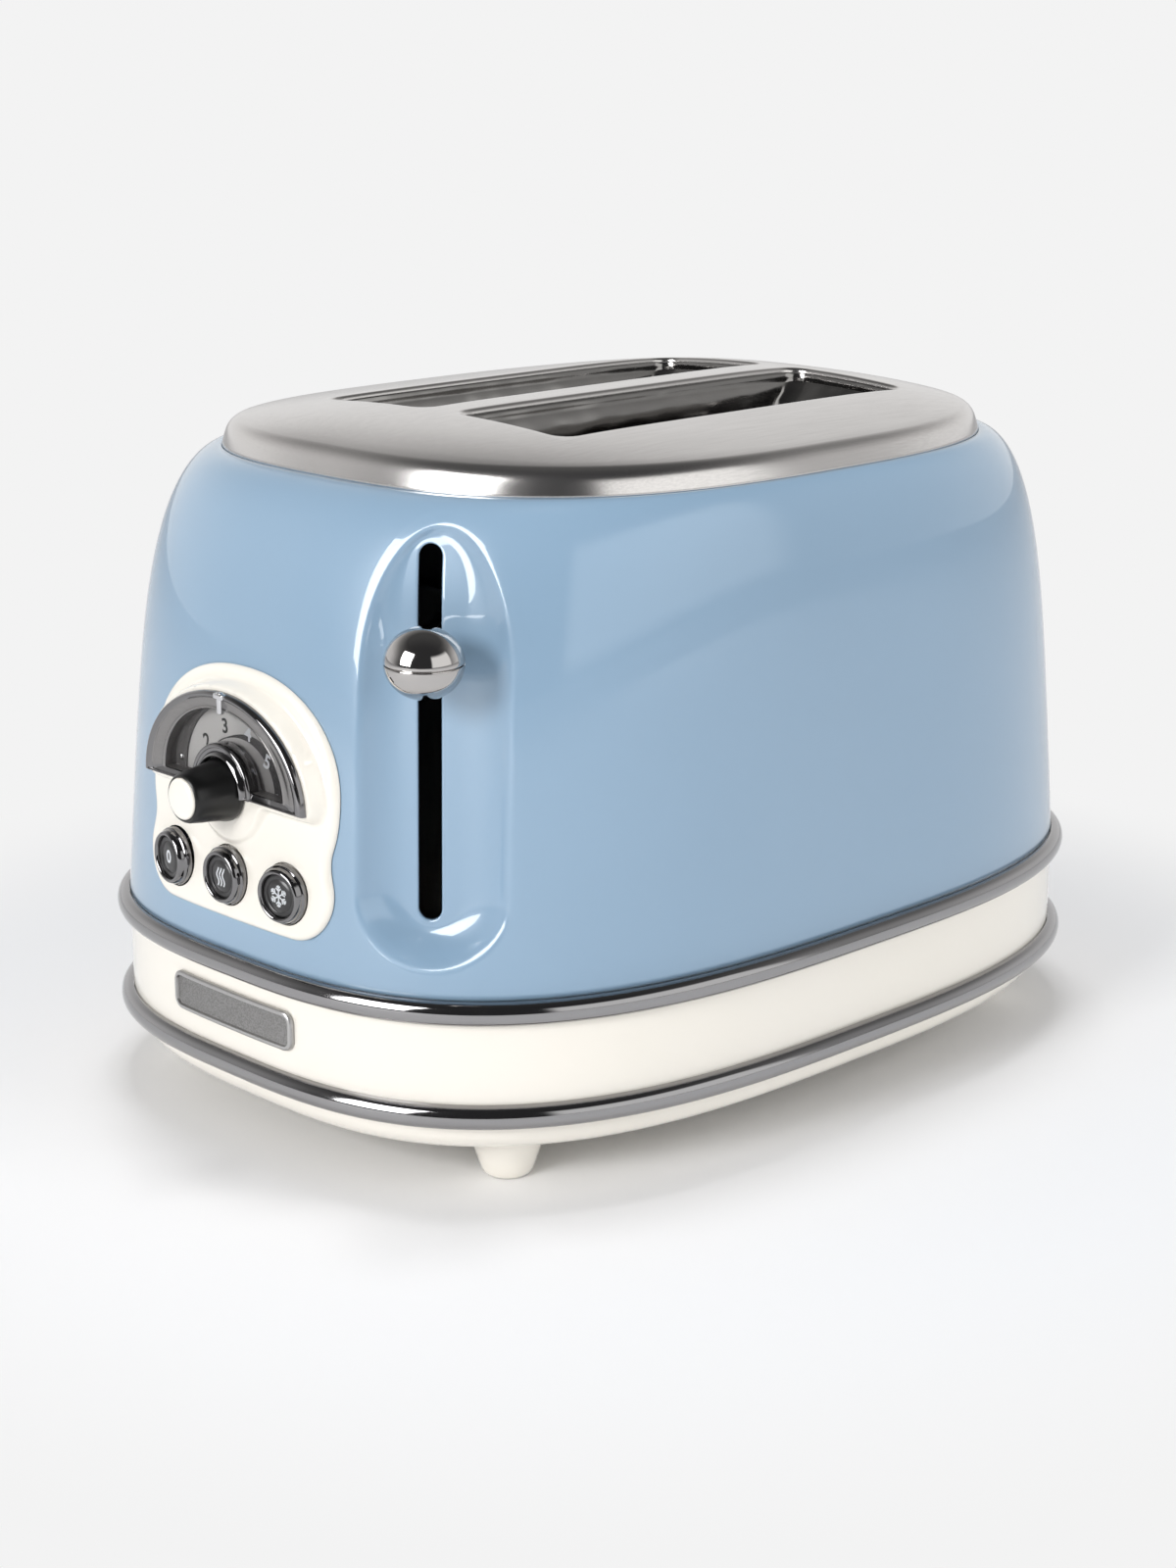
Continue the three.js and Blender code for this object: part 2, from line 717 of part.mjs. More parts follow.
function dialBezel() {
  const inner = bezelFace - bezelThickness;
  const body = facingPrism(endFrame, halfArch(bezelHalfWidth, bezelRise, bezelFloor), inner, bezelFace, bezelBevel);
  const floor = bezelFloor + bezelBar;
  const opening = facingPrism(endFrame, halfArch(windowHalfWidth, windowRise, floor), inner - overrun,
    bezelFace + overrun);
  const hub = cylinderAt(dialFrame, hubRadius, inner - overrun, bezelFace + overrun, 32);
  const bore = cylinderAt(dialFrame, knobBaseRadius + buttonClearance, inner - overrun, bezelFace + overrun);
  const pointerTop = bezelFloor + bezelRise - bezelBevel * overrun;
  const pointer = [new THREE.Vector2(-dialPointerWidth / 2, floor + windowRise - windowSeat),
    new THREE.Vector2(dialPointerWidth / 2, floor + windowRise - windowSeat),
    new THREE.Vector2(dialPointerWidth / 2, pointerTop), new THREE.Vector2(-dialPointerWidth / 2, pointerTop)];
  const post = facingPrism(endFrame, pointer, inner + bezelBevel, bezelFace + bezelBevel);
  return body.subtract(opening.subtract(hub)).add(post).subtract(bore);
}

function dialWindow() {
  const floor = bezelFloor + bezelBar - windowSeat + fitGap * 2;
  const outline = halfArch(windowHalfWidth + windowSeat - fitGap, windowRise + windowSeat - fitGap * 2, floor);
  const pane = facingPrism(endFrame, outline, bossFace - windowThickness, bossFace);
  return pane.subtract(cylinderAt(dialFrame, knobBaseRadius + fitGap * 2, 0, bezelFace));
}

function dialKnob() {
  const profile = [
    [0, shaftEnd], [shaftRadius, shaftEnd], [shaftRadius, knobInner], [knobBaseRadius, knobInner],
    [knobBaseRadius, knobInner + knobEdge * 3], [knobTipRadius, knobOuter - knobEdge],
    [knobTipRadius - knobEdge, knobOuter], [capRadius + fitGap, knobOuter],
    [capRadius + fitGap, knobOuter - knobSeatDepth], [0, knobOuter - knobSeatDepth],
  ];
  return revolve(profile, dialFrame, 28);
}

function knobCap() {
  const seat = knobOuter - knobSeatDepth + fitGap;
  const profile = [[0, seat], [capRadius, seat], [capRadius, seat + capThickness / 2],
    [capRadius * 0.72, seat + capThickness * 0.88], [0, seat + capThickness]];
  return revolve(profile, dialFrame);
}

function numberDisc() {
  const disc = cylinderAt(dialFrame, discRadius, discFront - discThickness, discFront, 40);
  return disc.subtract(cylinderAt(dialFrame, shaftRadius + fitGap, 0, bezelFace, 16));
}

function buttonRing({ x, y, turn }) {
  const frame = facing(turn, x, y, buttonHeight);
  const stem = buttonStemEnd + x;
  const lip = buttonRadius - buttonLipWidth;
  const profile = [[0, stem], [buttonStemRadius, stem], [buttonStemRadius, -buttonDepth], [buttonRadius, -buttonDepth],
    [buttonRadius, buttonProud * 0.35], [buttonRadius - buttonLipWidth * 0.18, buttonProud * 0.75],
    [buttonRadius - buttonLipWidth * 0.5, buttonProud], [lip + buttonLipWidth * 0.14, buttonProud * 0.8],
    [lip, buttonProud * 0.5], [lip, buttonProud - buttonWell], [0, buttonProud - buttonWell]];
  return revolve(profile, frame);
}

function buttonFace({ x, y, turn }) {
  const frame = facing(turn, x, y, buttonHeight);
  const seat = buttonProud - buttonWell + fitGap;
  const profile = [[0, seat], [buttonFaceRadius, seat], [buttonFaceRadius, seat + buttonFaceThickness * 0.6],
    [buttonFaceRadius * 0.7, seat + buttonFaceThickness * 0.9], [0, seat + buttonFaceThickness]];
  return revolve(profile, frame, 20);
}

function bodyShell() {
  const openings = plateHalfLength * (1 - 1 / overrun);
  const outer = bodyLoft(0, shellBottom, shellTop).subtract(recessDish(0));
  const cavity = bodyLoft(-wall, shellBottom - overrun, shellTop - wall).subtract(recessDish(wall));
  const ledge = openings / 8;
  const mouth = prism(superellipse(plateHalfLength - ledge, plateHalfWidth - ledge, platePower),
    shellTop - wall * overrun, shellTop + overrun);
  const window = facingPrism(endFrame, panelOutline(panelOpeningMargin), bodyHalfLength - bodyHalfWidth / 2,
    bodyHalfLength + overrun);
  return outer.subtract(cavity).subtract(mouth).subtract(window).subtract(leverSlot());
}

const bodyOutline = superellipse(bodyHalfLength, bodyHalfWidth, bodyPower);

function columnLoft(offset, bottom, top) {
  const outline = superellipse(bodyHalfLength + offset, bodyHalfWidth + offset, bodyPower);
  return solid(loft([atHeight(outline, bottom), atHeight(outline, top)]));
}

function trimRing(bottom) {
  const profile = [{ out: fitGap, z: bottom }];
  for (let step = 0; step <= ringProfileSteps; step++) {
    const angle = (step / ringProfileSteps - 0.5) * Math.PI;
    profile.push({
      out: fitGap * 2 + (ringProud - fitGap * 2) * Math.cos(angle),
      z: bottom + ringHeight / 2 + (ringHeight / 2) * Math.sin(angle),
    });
  }
  profile.push({ out: fitGap, z: bottom + ringHeight });
  return sweepRound(bodyOutline, profile);
}

const crumbTop = crumbBottom + handleHeight;

function baseBand() {
  const band = columnLoft(0, bandBottom, bandTop).subtract(columnLoft(-bandWall, bandBottom - overrun,
    bandTop + overrun));
  const opening = box([crumbEnd - crumbOpeningMargin * 4, -crumbHalfWidth - crumbOpeningMargin, crumbBottom - fitGap],
    [bodyHalfLength + overrun, crumbHalfWidth + crumbOpeningMargin, crumbBottom + crumbHeight + crumbOpeningMargin]);
  return band.subtract(opening);
}

// Tray section: the side leans in a little and rolls under to the flat bottom
const trayRollShares = [[1, 0], [0.46, 0.11], [0.12, 0.38], [0.02, 0.72], [0, 1]];

function trayLoft(grow, bottom, top) {
  return solid(loft(trayRollShares.map(([underShare, heightShare]) => {
    const inset = trayInset + trayUnder * underShare - grow;
    return atHeight(superellipse(bodyHalfLength - inset, bodyHalfWidth - inset, bodyPower),
      bottom + (top - bottom) * heightShare);
  })));
}

const trayFloor = trayBottom + trayWall;

function baseTray() {
  let tray = trayLoft(0, trayBottom, trayTop).subtract(trayLoft(-trayWall, trayFloor, trayTop + overrun));
  const postTop = chassisBottom - fitGap;
  const postY = chassisHalfWidth - postInset;
  for (const x of [chassisFront + sheet / 2, chassisRear - sheet / 2]) {
    for (const y of [-postY, postY]) {
      tray = tray.add(box([x - postLength / 2, y - postWidth / 2, trayBottom + trayWall / 2],
        [x + postLength / 2, y + postWidth / 2, postTop]));
    }
  }
  const railY = crumbHalfWidth - railInset;
  for (const y of [-railY, railY]) {
    tray = tray.add(box([crumbStart + railEndInset, y - railWidth / 2, trayBottom + trayWall / 2],
      [crumbEnd - railEndInset, y + railWidth / 2, crumbBottom - fitGap]));
  }
  for (let i = 0; i < ventCount; i++) {
    const x = (i - (ventCount - 1) / 2) * ventSpacing;
    const outline = roundedRectangle(ventWidth / 2, ventLength / 2, ventWidth / 3, x, 0);
    tray = tray.subtract(prism(outline, trayBottom - overrun, trayFloor + overrun));
  }
  return tray.subtract(rod([glandX, glandY, 0], [glandX, glandY, trayTop], glandRadius + fitGap, 16));
}

function foot(x, y) {
  const profile = [[0, 0], [footBottomRadius - 0.06 * footHeight, 0], [footBottomRadius, footHeight * 0.08],
    [footBottomRadius * 1.2, footHeight * 0.45], [footTopRadius * 0.88, footHeight * 0.86],
    [footTopRadius, footHeight], [0, footHeight]];
  return revolve(profile, upright(x, y, 0), 20);
}

function badgePlate() {
  const outline = roundedRectangle(badgeHalfWidth, badgeHeight / 2, badgeCorner, 0, badgeCentre);
  const cover = facingPrism(endFrame, outline, bodyHalfLength / 2, bodyHalfLength * overrun);
  const bottom = badgeCentre - badgeHeight;
  const top = badgeCentre + badgeHeight;
  const skin = columnLoft(fitGap + badgeThickness, bottom, top).subtract(columnLoft(fitGap, bottom - overrun,
    top + overrun));
  return skin.intersect(cover);
}

function crumbTray() {
  const outer = box([crumbStart, -crumbHalfWidth, crumbBottom], [crumbEnd, crumbHalfWidth, crumbBottom + crumbHeight]);
  const inner = box([crumbStart + crumbSheet, -crumbHalfWidth + crumbSheet, crumbBottom + crumbSheet],
    [crumbEnd - crumbSheet, crumbHalfWidth - crumbSheet, crumbBottom + crumbHeight + overrun]);
  const tongue = box([crumbEnd - crumbSheet, -crumbTongueHalf, crumbBottom],
    [bodyHalfLength, crumbTongueHalf, crumbBottom + crumbSheet]);
  return outer.subtract(inner).add(tongue.intersect(columnLoft(0, crumbBottom - overrun, crumbTop)));
}

function crumbHandle() {
  const skin = columnLoft(fitGap + handleThickness, crumbBottom, crumbTop).subtract(columnLoft(fitGap,
    crumbBottom - overrun, crumbTop + overrun));
  return skin.intersect(box([bodyHalfLength / 2, -handleHalfWidth, crumbBottom - overrun],
    [bodyHalfLength * overrun, handleHalfWidth, crumbTop + overrun]));
}

function cordGland() {
  const flangeTop = trayBottom - fitGap;
  const flangeBottom = flangeTop - glandFlangeThickness;
  const top = flangeBottom + glandLength;
  return revolve([[glandBore, flangeBottom], [glandFlange, flangeBottom], [glandFlange, flangeTop],
    [glandRadius, flangeTop], [glandRadius, top], [glandBore, top], [glandBore, flangeBottom]],
  upright(glandX, glandY, 0), 16);
}

// Chassis plates: folded channels, slotted where the bread racks run
const rackSlotBottom = rackBottom - leverTravel - overrun;
const rackSlotTop = rackBottom + rackHeight + leverRise + overrun;

function chassisPlate(face, outwards, depth) {
  const inner = face - outwards * sheet;
  const lowX = Math.min(face, inner);
  const highX = Math.max(face, inner);
  let plate = box([lowX, -chassisHalfWidth, chassisBottom], [highX, chassisHalfWidth, chassisTop]);
  const tip = inner + outwards * depth;
  for (const z of [chassisBottom, chassisTop - sheet]) {
    plate = plate.add(box([Math.min(inner, tip), -flangeHalfWidth, z], [Math.max(inner, tip), flangeHalfWidth,
      z + sheet]));
  }
  for (const y of slotCentres) {
    plate = plate.subtract(box([lowX - overrun, y - cageSlotWidth / 2, rackSlotBottom],
      [highX + overrun, y + cageSlotWidth / 2, rackSlotTop]));
  }
  return plate;
}

const cageStart = chassisFront + sheet + fitGap;
const cageEnd = chassisRear - sheet - fitGap;

// Heater: a mica board with one flat ribbon wound round it, level in front and stepping down behind
function heater(y) {
  let board = box([cageStart, y - heaterThickness / 2, heaterBottom], [cageEnd, y + heaterThickness / 2, heaterTop]);
  const pitch = (heaterTop - heaterBottom) / (ribbonTurns + 1);
  const face = heaterThickness / 2 + ribbonThickness;
  const left = cageStart + ribbonEndInset;
  const right = cageEnd - ribbonEndInset;
  const slope = Math.atan2(pitch, right - left);
  for (let turn = 0; turn < ribbonTurns; turn++) {
    const z = heaterTop - pitch * (turn + 1);
    board = board.add(box([left, y - face, z - ribbonWidth / 2], [right, y, z + ribbonWidth / 2]));
    const length = (right - left) / Math.cos(slope);
    const back = new THREE.BoxGeometry(length, face, ribbonWidth);
    back.rotateY(slope * -1);
    back.translate((left + right) / 2, y + face / 2, z - pitch / 2 + ribbonWidth / 2);
    board = board.add(solid(back));
  }
  return board;
}

function reflector(side) {
  const inner = side * reflectorY;
  const outer = side * (reflectorY + reflectorThickness);
  return box([cageStart, Math.min(inner, outer), reflectorBottom], [cageEnd, Math.max(inner, outer), heaterTop]);
}

function breadGuard(y) {
  const start = cageStart + guardWire;
  const end = cageEnd - guardWire;
  let guard = rod([cageStart, y, guardHinge], [cageEnd, y, guardHinge], guardWire, 6);
  guard = guard.add(rod([start, y, guardTop - guardWire], [end, y, guardTop - guardWire], guardWire, 6));
  const pitch = (end - start - guardEndInset * 2) / (guardWires - 1);
  for (let i = 0; i < guardWires; i++) {
    const x = start + guardEndInset + pitch * i;
    guard = guard.add(rod([x, y, guardHinge], [x, y, guardTop - guardWire], guardWire * 0.8, 6));
  }
  return guard;
}

function carriageBracket() {
  let bracket = box([bracketSheetFront, -bracketHalfWidth, bracketBottom], [bracketBack, bracketHalfWidth, bracketTop]);
  bracket = bracket.add(rod([rodX, rodY, bracketBottom], [rodX, rodY, bracketTop], sleeveRadius, 16));
  bracket = bracket.add(box([rodX, rodY - sleeveRadius / 2, bracketBottom],
    [bracketBack, rodY + sleeveRadius / 2, bracketTop]));
  bracket = bracket.add(box([bracketBack - armatureSize, armatureY - armatureSize / 2, bracketBottom],
    [bracketBack, armatureY + armatureSize / 2, bracketBottom + bracketSheet]));
  bracket = bracket.add(box([rodX - springTabHalf, springY - springTabHalf, bracketBottom],
    [bracketBack, springY + springTabHalf, bracketBottom + bracketSheet]));
  return bracket.subtract(rod([rodX, rodY, bracketBottom - overrun], [rodX, rodY, bracketTop + overrun],
    rodRadius + sleeveClearance, 16));
}

function breadRack(y) {
  const start = bracketBack + fitGap;
  const end = chassisRear + rackTail;
  let rack = box([start, y - rackThickness / 2, rackBottom], [end, y + rackThickness / 2, rackBottom + rackHeight]);
  const first = cageStart + rackBarInset;
  const pitch = (cageEnd - rackBarInset - first) / (rackBars - 1);
  const z = rackBottom + rackHeight - rackBarRadius * 1.2;
  for (let i = 0; i < rackBars; i++) {
    const x = first + pitch * i;
    rack = rack.add(rod([x, y - rackBarHalf, z], [x, y + rackBarHalf, z], rackBarRadius, 6));
  }
  return rack;
}

const leverFrame = facing(leverTurn, leverX, leverY, leverHeight);
const armOuter = ballStandOff - fitGap;

function leverArm() {
  const angle = THREE.MathUtils.degToRad(leverTurn);
  const cornerReach = (armThickness / 2) * Math.sin(angle);
  const inner = (leverX + cornerReach - bracketSheetFront + fitGap) / Math.cos(angle);
  const arm = new THREE.BoxGeometry(armThickness, armHeight, armOuter - inner);
  arm.translate(0, 0, (armOuter + inner) / 2);
  return solid(arm.applyMatrix4(leverFrame));
}

// Ball knob with a groove round its equator and a flat where the arm enters
function leverKnob() {
  const centre = ballStandOff + Math.sqrt(ballRadius ** 2 - (armHeight / 2) ** 2);
  const profile = [];
  const steps = 7;
  const grooveAngle = Math.asin(ballGrooveHalf / ballRadius);
  for (let i = 0; i <= steps; i++) {
    const angle = -Math.PI / 2 + (Math.PI / 2 - grooveAngle) * (i / steps);
    profile.push([i === 0 ? 0 : ballRadius * Math.cos(angle), ballRadius * Math.sin(angle)]);
  }
  profile.push([ballRadius - ballGrooveDepth, 0]);
  for (let i = steps; i >= 0; i--) {
    const [r, h] = profile[i];
    profile.push([r, -h]);
  }
  const ball = new THREE.LatheGeometry(profile.map(([r, h]) => new THREE.Vector2(r, h)), 24);
  ball.translate(0, 0, centre);
  const flat = new THREE.BoxGeometry(ballRadius * 2, ballRadius * 2, ballRadius);
  flat.translate(0, 0, ballStandOff - ballRadius / 2);
  return solid(ball.applyMatrix4(leverFrame)).subtract(solid(flat.applyMatrix4(leverFrame)));
}

const armatureTop = bracketBottom - fitGap;
const magnetX = bracketBack - armatureSize / 2 - bracketSheet;

function armature() {
  return box([bracketBack - armatureSize, armatureY - armatureSize / 2, armatureTop - armatureThickness],
    [bracketSheetFront, armatureY + armatureSize / 2, armatureTop]);
}

function electromagnet() {
  const floor = chassisBottom + sheet + fitGap;
  const top = armatureTop - armatureThickness - leverTravel - magnetGap;
  const half = armatureSize / 2 - fitGap;
  const yoke = box([magnetX - half, armatureY - half, floor], [magnetX + half, armatureY + half, floor + magnetBase]);
  const coil = rod([magnetX, armatureY, floor + magnetBase / 2], [magnetX, armatureY, top - magnetBase / 2],
    coilRadius, 16);
  const core = box([magnetX - coreHalf, armatureY - coreHalf, floor], [magnetX + coreHalf, armatureY + coreHalf, top]);
  return yoke.add(coil).add(core);
}

const flangeUnder = chassisTop - sheet;

// One unbroken helix between the top flange and the carriage tab
class Helix extends THREE.Curve {
  constructor(radius, height, turns) {
    super();
    Object.assign(this, { radius, height, turns });
  }

  getPoint(share, target = new THREE.Vector3()) {
    const angle = share * this.turns * Math.PI * 2;
    return target.set(this.radius * Math.cos(angle), this.radius * Math.sin(angle), share * this.height);
  }
}

function returnSpring() {
  const bottom = bracketBottom + bracketSheet + springWire + fitGap;
  const height = flangeUnder - springWire - fitGap - bottom;
  const section = new THREE.Shape();
  for (let i = 0; i < springSides; i++) {
    const angle = (i / springSides) * Math.PI * 2;
    const point = [springWire * Math.cos(angle), springWire * Math.sin(angle)];
    if (i === 0) section.moveTo(...point);
    else section.lineTo(...point);
  }
  const geometry = new THREE.ExtrudeGeometry(section, {
    steps: springTurns * springSteps,
    extrudePath: new Helix(springRadius, height, springTurns),
    bevelEnabled: false,
  });
  geometry.translate(rodX, springY, bottom);
  return solid(geometry);
}

function circuitBoard() {
  let board = box([boardFront, -boardHalfWidth, boardBottom],
    [boardFront + boardThickness, boardHalfWidth, boardTop]);
  for (const { y } of buttonPlaces) {
    board = board.add(box([boardFront - switchHeight, y - switchSize / 2, buttonHeight - switchSize / 2],
      [boardFront + boardThickness / 2, y + switchSize / 2, buttonHeight + switchSize / 2]));
  }
  return board;
}

function browningPot() {
  return cylinderAt(dialFrame, potRadius, -boardFront + fitGap, -boardFront + potLength, 20);
}

// Materials
const finish = (color, roughness, metalness, more = {}) => new THREE.MeshStandardMaterial({
  color, roughness, metalness, ...more,
});
const materials = {
  enamel: finish(0x9bb3ca, 0.22, 0),
  cream: finish(0xf7f1e7, 0.3, 0),
  steel: finish(0xb9b7b4, 0.32, 1),
  chrome: finish(0xc9cacb, 0.08, 1),
  smoked: finish(0x53565a, 0.08, 0, { transparent: true, opacity: 0.35 }),
  plate: finish(0x9a9b9d, 0.4, 0.2),
  black: finish(0x121212, 0.25, 0),
  mica: finish(0xb59a72, 0.7, 0),
  zinc: finish(0x8d9092, 0.45, 1),
  circuit: finish(0x2f5b3c, 0.6, 0),
  copper: finish(0xa0603a, 0.4, 0.8),
  rubber: finish(0x2a2a2a, 0.8, 0),
};

const toaster = new THREE.Group();

function add(name, shape, material) {
  const geometry = shape instanceof THREE.BufferGeometry ? shape : geometryOf(shape);
  if (!geometry.attributes.normal) geometry.computeVertexNormals();
  const mesh = new THREE.Mesh(geometry, material);
  mesh.name = name;
  toaster.add(mesh);
}

add('body_shell', bodyShell(), materials.enamel);
add('top_plate', topPlate(), materials.steel);
add('base_band', baseBand(), materials.cream);
const ringSeat = shellBottom - ringHeight;
add('upper_trim_ring', trimRing(ringSeat), materials.chrome);
add('lower_trim_ring', trimRing(bandBottom), materials.chrome);
add('base_tray', baseTray(), materials.cream);
const corners = { front_left: [-1, -1], front_right: [1, -1], rear_left: [-1, 1], rear_right: [1, 1] };
for (const [corner, [sideX, sideY]] of Object.entries(corners)) {
  add(`foot_${corner}`, foot(sideX * footX, sideY * footY), materials.cream);
}
add('control_panel', controlPanel(), materials.cream);
add('dial_bezel', dialBezel(), materials.chrome);
add('dial_window', dialWindow(), materials.smoked);
add('badge_plate', badgePlate(), materials.chrome);
add('dial_knob', dialKnob(), materials.black);
add('knob_cap', knobCap(), materials.cream);
add('number_disc', numberDisc(), materials.plate);
const buttonNames = ['defrost', 'reheat', 'cancel'];
buttonPlaces.forEach((place, i) => {
  add(`button_${buttonNames[i]}`, buttonRing(place), materials.chrome);
  add(`button_face_${buttonNames[i]}`, buttonFace(place), materials.black);
});
const sides = { front: -1, rear: 1 };
for (const [side, sign] of Object.entries(sides)) {
  const centre = sign * slotSpacing / 2;
  add(`slot_liner_${side}`, slotLiner(centre), materials.steel);
  add(`reflector_${side}`, reflector(sign), materials.zinc);
  add(`heater_${side}`, heater(sign * outerHeaterY), materials.mica);
  add(`bread_rack_${side}`, breadRack(centre), materials.zinc);
  add(`guard_${side}_outer`, breadGuard(centre + sign * guardOffset), materials.steel);
  add(`guard_${side}_inner`, breadGuard(centre - sign * guardOffset), materials.steel);
}
add('heater_middle', heater(0), materials.mica);
add('chassis_left', chassisPlate(chassisFront, -1, flangeDepth), materials.zinc);
add('chassis_right', chassisPlate(chassisRear, 1, rearFlangeDepth), materials.zinc);
add('guide_rod', rod([rodX, rodY, chassisBottom + sheet + fitGap], [rodX, rodY, flangeUnder - fitGap], rodRadius, 16),
  materials.zinc);
add('carriage_bracket', carriageBracket(), materials.zinc);
add('lever_arm', leverArm(), materials.zinc);
add('lever_knob', leverKnob(), materials.chrome);
add('armature', armature(), materials.zinc);
add('electromagnet', electromagnet(), materials.copper);
add('return_spring', returnSpring(), materials.zinc);
add('circuit_board', circuitBoard(), materials.circuit);
add('browning_pot', browningPot(), materials.zinc);
add('cord_gland', cordGland(), materials.rubber);
add('crumb_tray', crumbTray(), materials.steel);
add('crumb_tray_handle', crumbHandle(), materials.cream);

// The origin stands on the floor under the middle of the whole outline, knob and handle included
const reachLeft = knobOuter - knobSeatDepth + fitGap + capThickness;
const reachRight = bodyHalfLength + ringProud;
toaster.position.x = (reachLeft - reachRight) / 2;

export default toaster;
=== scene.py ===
# %% [markdown]
# # A two-slice toaster, dressed for the studio
# The CAD model already gives every part its place and its joints. This lesson lays smooth,
# well finished pieces over that frame, so that the render looks like the real, glossy object.
# All shapes are worked out in millimetres, with the middle of the body at x = 0, and are
# moved into the frame in one step at the end of each piece.

# %% Load the frame
import math
import bmesh
import bpy
import numpy as np
from mathutils import Matrix, Vector


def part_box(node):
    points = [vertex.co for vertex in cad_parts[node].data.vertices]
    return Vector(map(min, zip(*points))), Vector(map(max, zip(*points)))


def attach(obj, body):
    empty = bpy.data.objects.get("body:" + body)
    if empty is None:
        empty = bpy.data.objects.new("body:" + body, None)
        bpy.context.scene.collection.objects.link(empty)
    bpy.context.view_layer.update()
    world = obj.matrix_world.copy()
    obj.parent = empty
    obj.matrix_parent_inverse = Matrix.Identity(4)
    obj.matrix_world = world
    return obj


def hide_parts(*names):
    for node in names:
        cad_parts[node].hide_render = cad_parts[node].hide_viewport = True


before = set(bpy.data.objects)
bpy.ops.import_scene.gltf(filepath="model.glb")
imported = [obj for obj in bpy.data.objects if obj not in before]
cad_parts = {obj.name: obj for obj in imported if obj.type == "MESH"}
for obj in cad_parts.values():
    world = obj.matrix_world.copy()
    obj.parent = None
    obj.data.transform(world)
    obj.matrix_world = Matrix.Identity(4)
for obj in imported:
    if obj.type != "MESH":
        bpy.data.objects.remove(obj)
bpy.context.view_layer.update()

MM, MERGE = 0.001, 0.0005
band_low, band_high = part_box("base_band")
PLACE = Matrix.Translation(((band_low.x + band_high.x) / 2, 0, 0)) @ Matrix.Scale(MM, 4)

# %% [markdown]
# ## Rims that grow
# Most skins here are pressed or moulded, and such a skin can be thought of as a rim that is
# pulled from one outline to the next. The helper extrudes an open rim with one bmesh
# operator and then sets each new vertex by the key it inherits, such as its angle round the
# body. Lists of faces never have to be written by hand, and the quads follow the form.

# %% Growing rims
class Rim:
    """An open edge of a sheet: its edges, and a key for each of its vertices."""

    def __init__(self, edges, keys):
        self.edges, self.keys = edges, keys

    def grow(self, bm, place):
        made = bmesh.ops.extrude_edge_only(bm, edges=self.edges)["geom"]
        fresh = {v for v in made if isinstance(v, bmesh.types.BMVert)}
        edges = [e for e in made if isinstance(e, bmesh.types.BMEdge) and set(e.verts) <= fresh]
        keys = {}
        for v in fresh:
            parent = next(e.other_vert(v) for e in v.link_edges if e.other_vert(v) not in fresh)
            keys[v] = self.keys[parent]
        for v, key in keys.items():
            v.co = place(*key)
        return Rim(edges, keys)


def first_rim(bm, keys, place):
    verts = bmesh.ops.create_circle(bm, segments=len(keys), radius=1)["verts"]
    for v, key in zip(verts, keys):
        v.co = place(*key)
    edges = dict.fromkeys(e for v in verts for e in v.link_edges)
    return Rim(list(edges), dict(zip(verts, keys)))


def loft(bm, keys, place, steps):
    """One rim for each step; 'place' turns a key and the values of a step into a point."""
    rims = [first_rim(bm, keys, lambda *key: place(*key, *steps[0]))]
    for step in steps[1:]:
        rims.append(rims[-1].grow(bm, lambda *key: place(*key, *step)))
    return rims


def cap(bm, rim):
    return bmesh.ops.edgeloop_fill(bm, edges=rim.edges)["faces"]


# %% [markdown]
# ## Turned parts
# Knobs, rings and feet are round, so each one is a profile of a few points that is spun
# about an axis. A spin is quicker than a loft and keeps the section exact. Small bars get a
# bevel, because no real edge is perfectly sharp.

# %% Turning
def facing(turn, x, y, z):
    """A frame on the side wall: x to the right as seen from outside, y up, z outwards."""
    angle = math.radians(turn)
    out = Vector((-math.cos(angle), -math.sin(angle), 0))
    side = Vector((math.sin(angle), -math.cos(angle), 0))
    frame_axes = Matrix((side, Vector((0, 0, 1)), out)).transposed().to_4x4()
    return Matrix.Translation((x, y, z)) @ frame_axes


def turn_profile(bm, profile, place, steps=64):
    """Spins points of (radius, height) about the z axis of the frame 'place'."""
    verts = [bm.verts.new((r, 0, h)) for r, h in profile]
    edges = [bm.edges.new(pair) for pair in zip(verts, verts[1:])]
    bmesh.ops.spin(bm, geom=verts + edges, cent=(0, 0, 0), axis=(0, 0, 1), angle=math.tau,
                   steps=steps, use_merge=True, use_duplicate=False)
    fresh = [v for v in bm.verts if not v.tag]
    bmesh.ops.transform(bm, matrix=place, verts=fresh)
    for v in bm.verts:
        v.tag = True
    return fresh


def bar(size, middle, soft):
    """A small cuboid with soft edges."""
    form = bmesh.new()
    bmesh.ops.create_cube(form, size=1, matrix=Matrix.Translation(middle)
                          @ Matrix.Diagonal((*size, 1)))
    bmesh.ops.bevel(form, geom=form.edges[:], offset=soft, offset_type="OFFSET", segments=3,
                    profile=0.5, affect="EDGES", clamp_overlap=True, material=-1)
    return form


# %% Making pieces
def into_frame(name, bm, outside=None):
    """Closes a bmesh up, turns it right side out and makes it an object in the frame."""
    bmesh.ops.remove_doubles(bm, verts=bm.verts, dist=MERGE)
    bmesh.ops.recalc_face_normals(bm, faces=bm.faces)
    if outside is not None:
        probe = max(bm.faces, key=lambda f: f.calc_center_median().dot(outside))
        if probe.normal.dot(outside) < 0:
            bmesh.ops.reverse_faces(bm, faces=bm.faces)
    bmesh.ops.transform(bm, matrix=PLACE, verts=bm.verts)
    mesh = bpy.data.meshes.new(name)
    bm.to_mesh(mesh)
    bm.free()
    made = bpy.data.objects.new(name, mesh)
    bpy.context.scene.collection.objects.link(made)
    return made


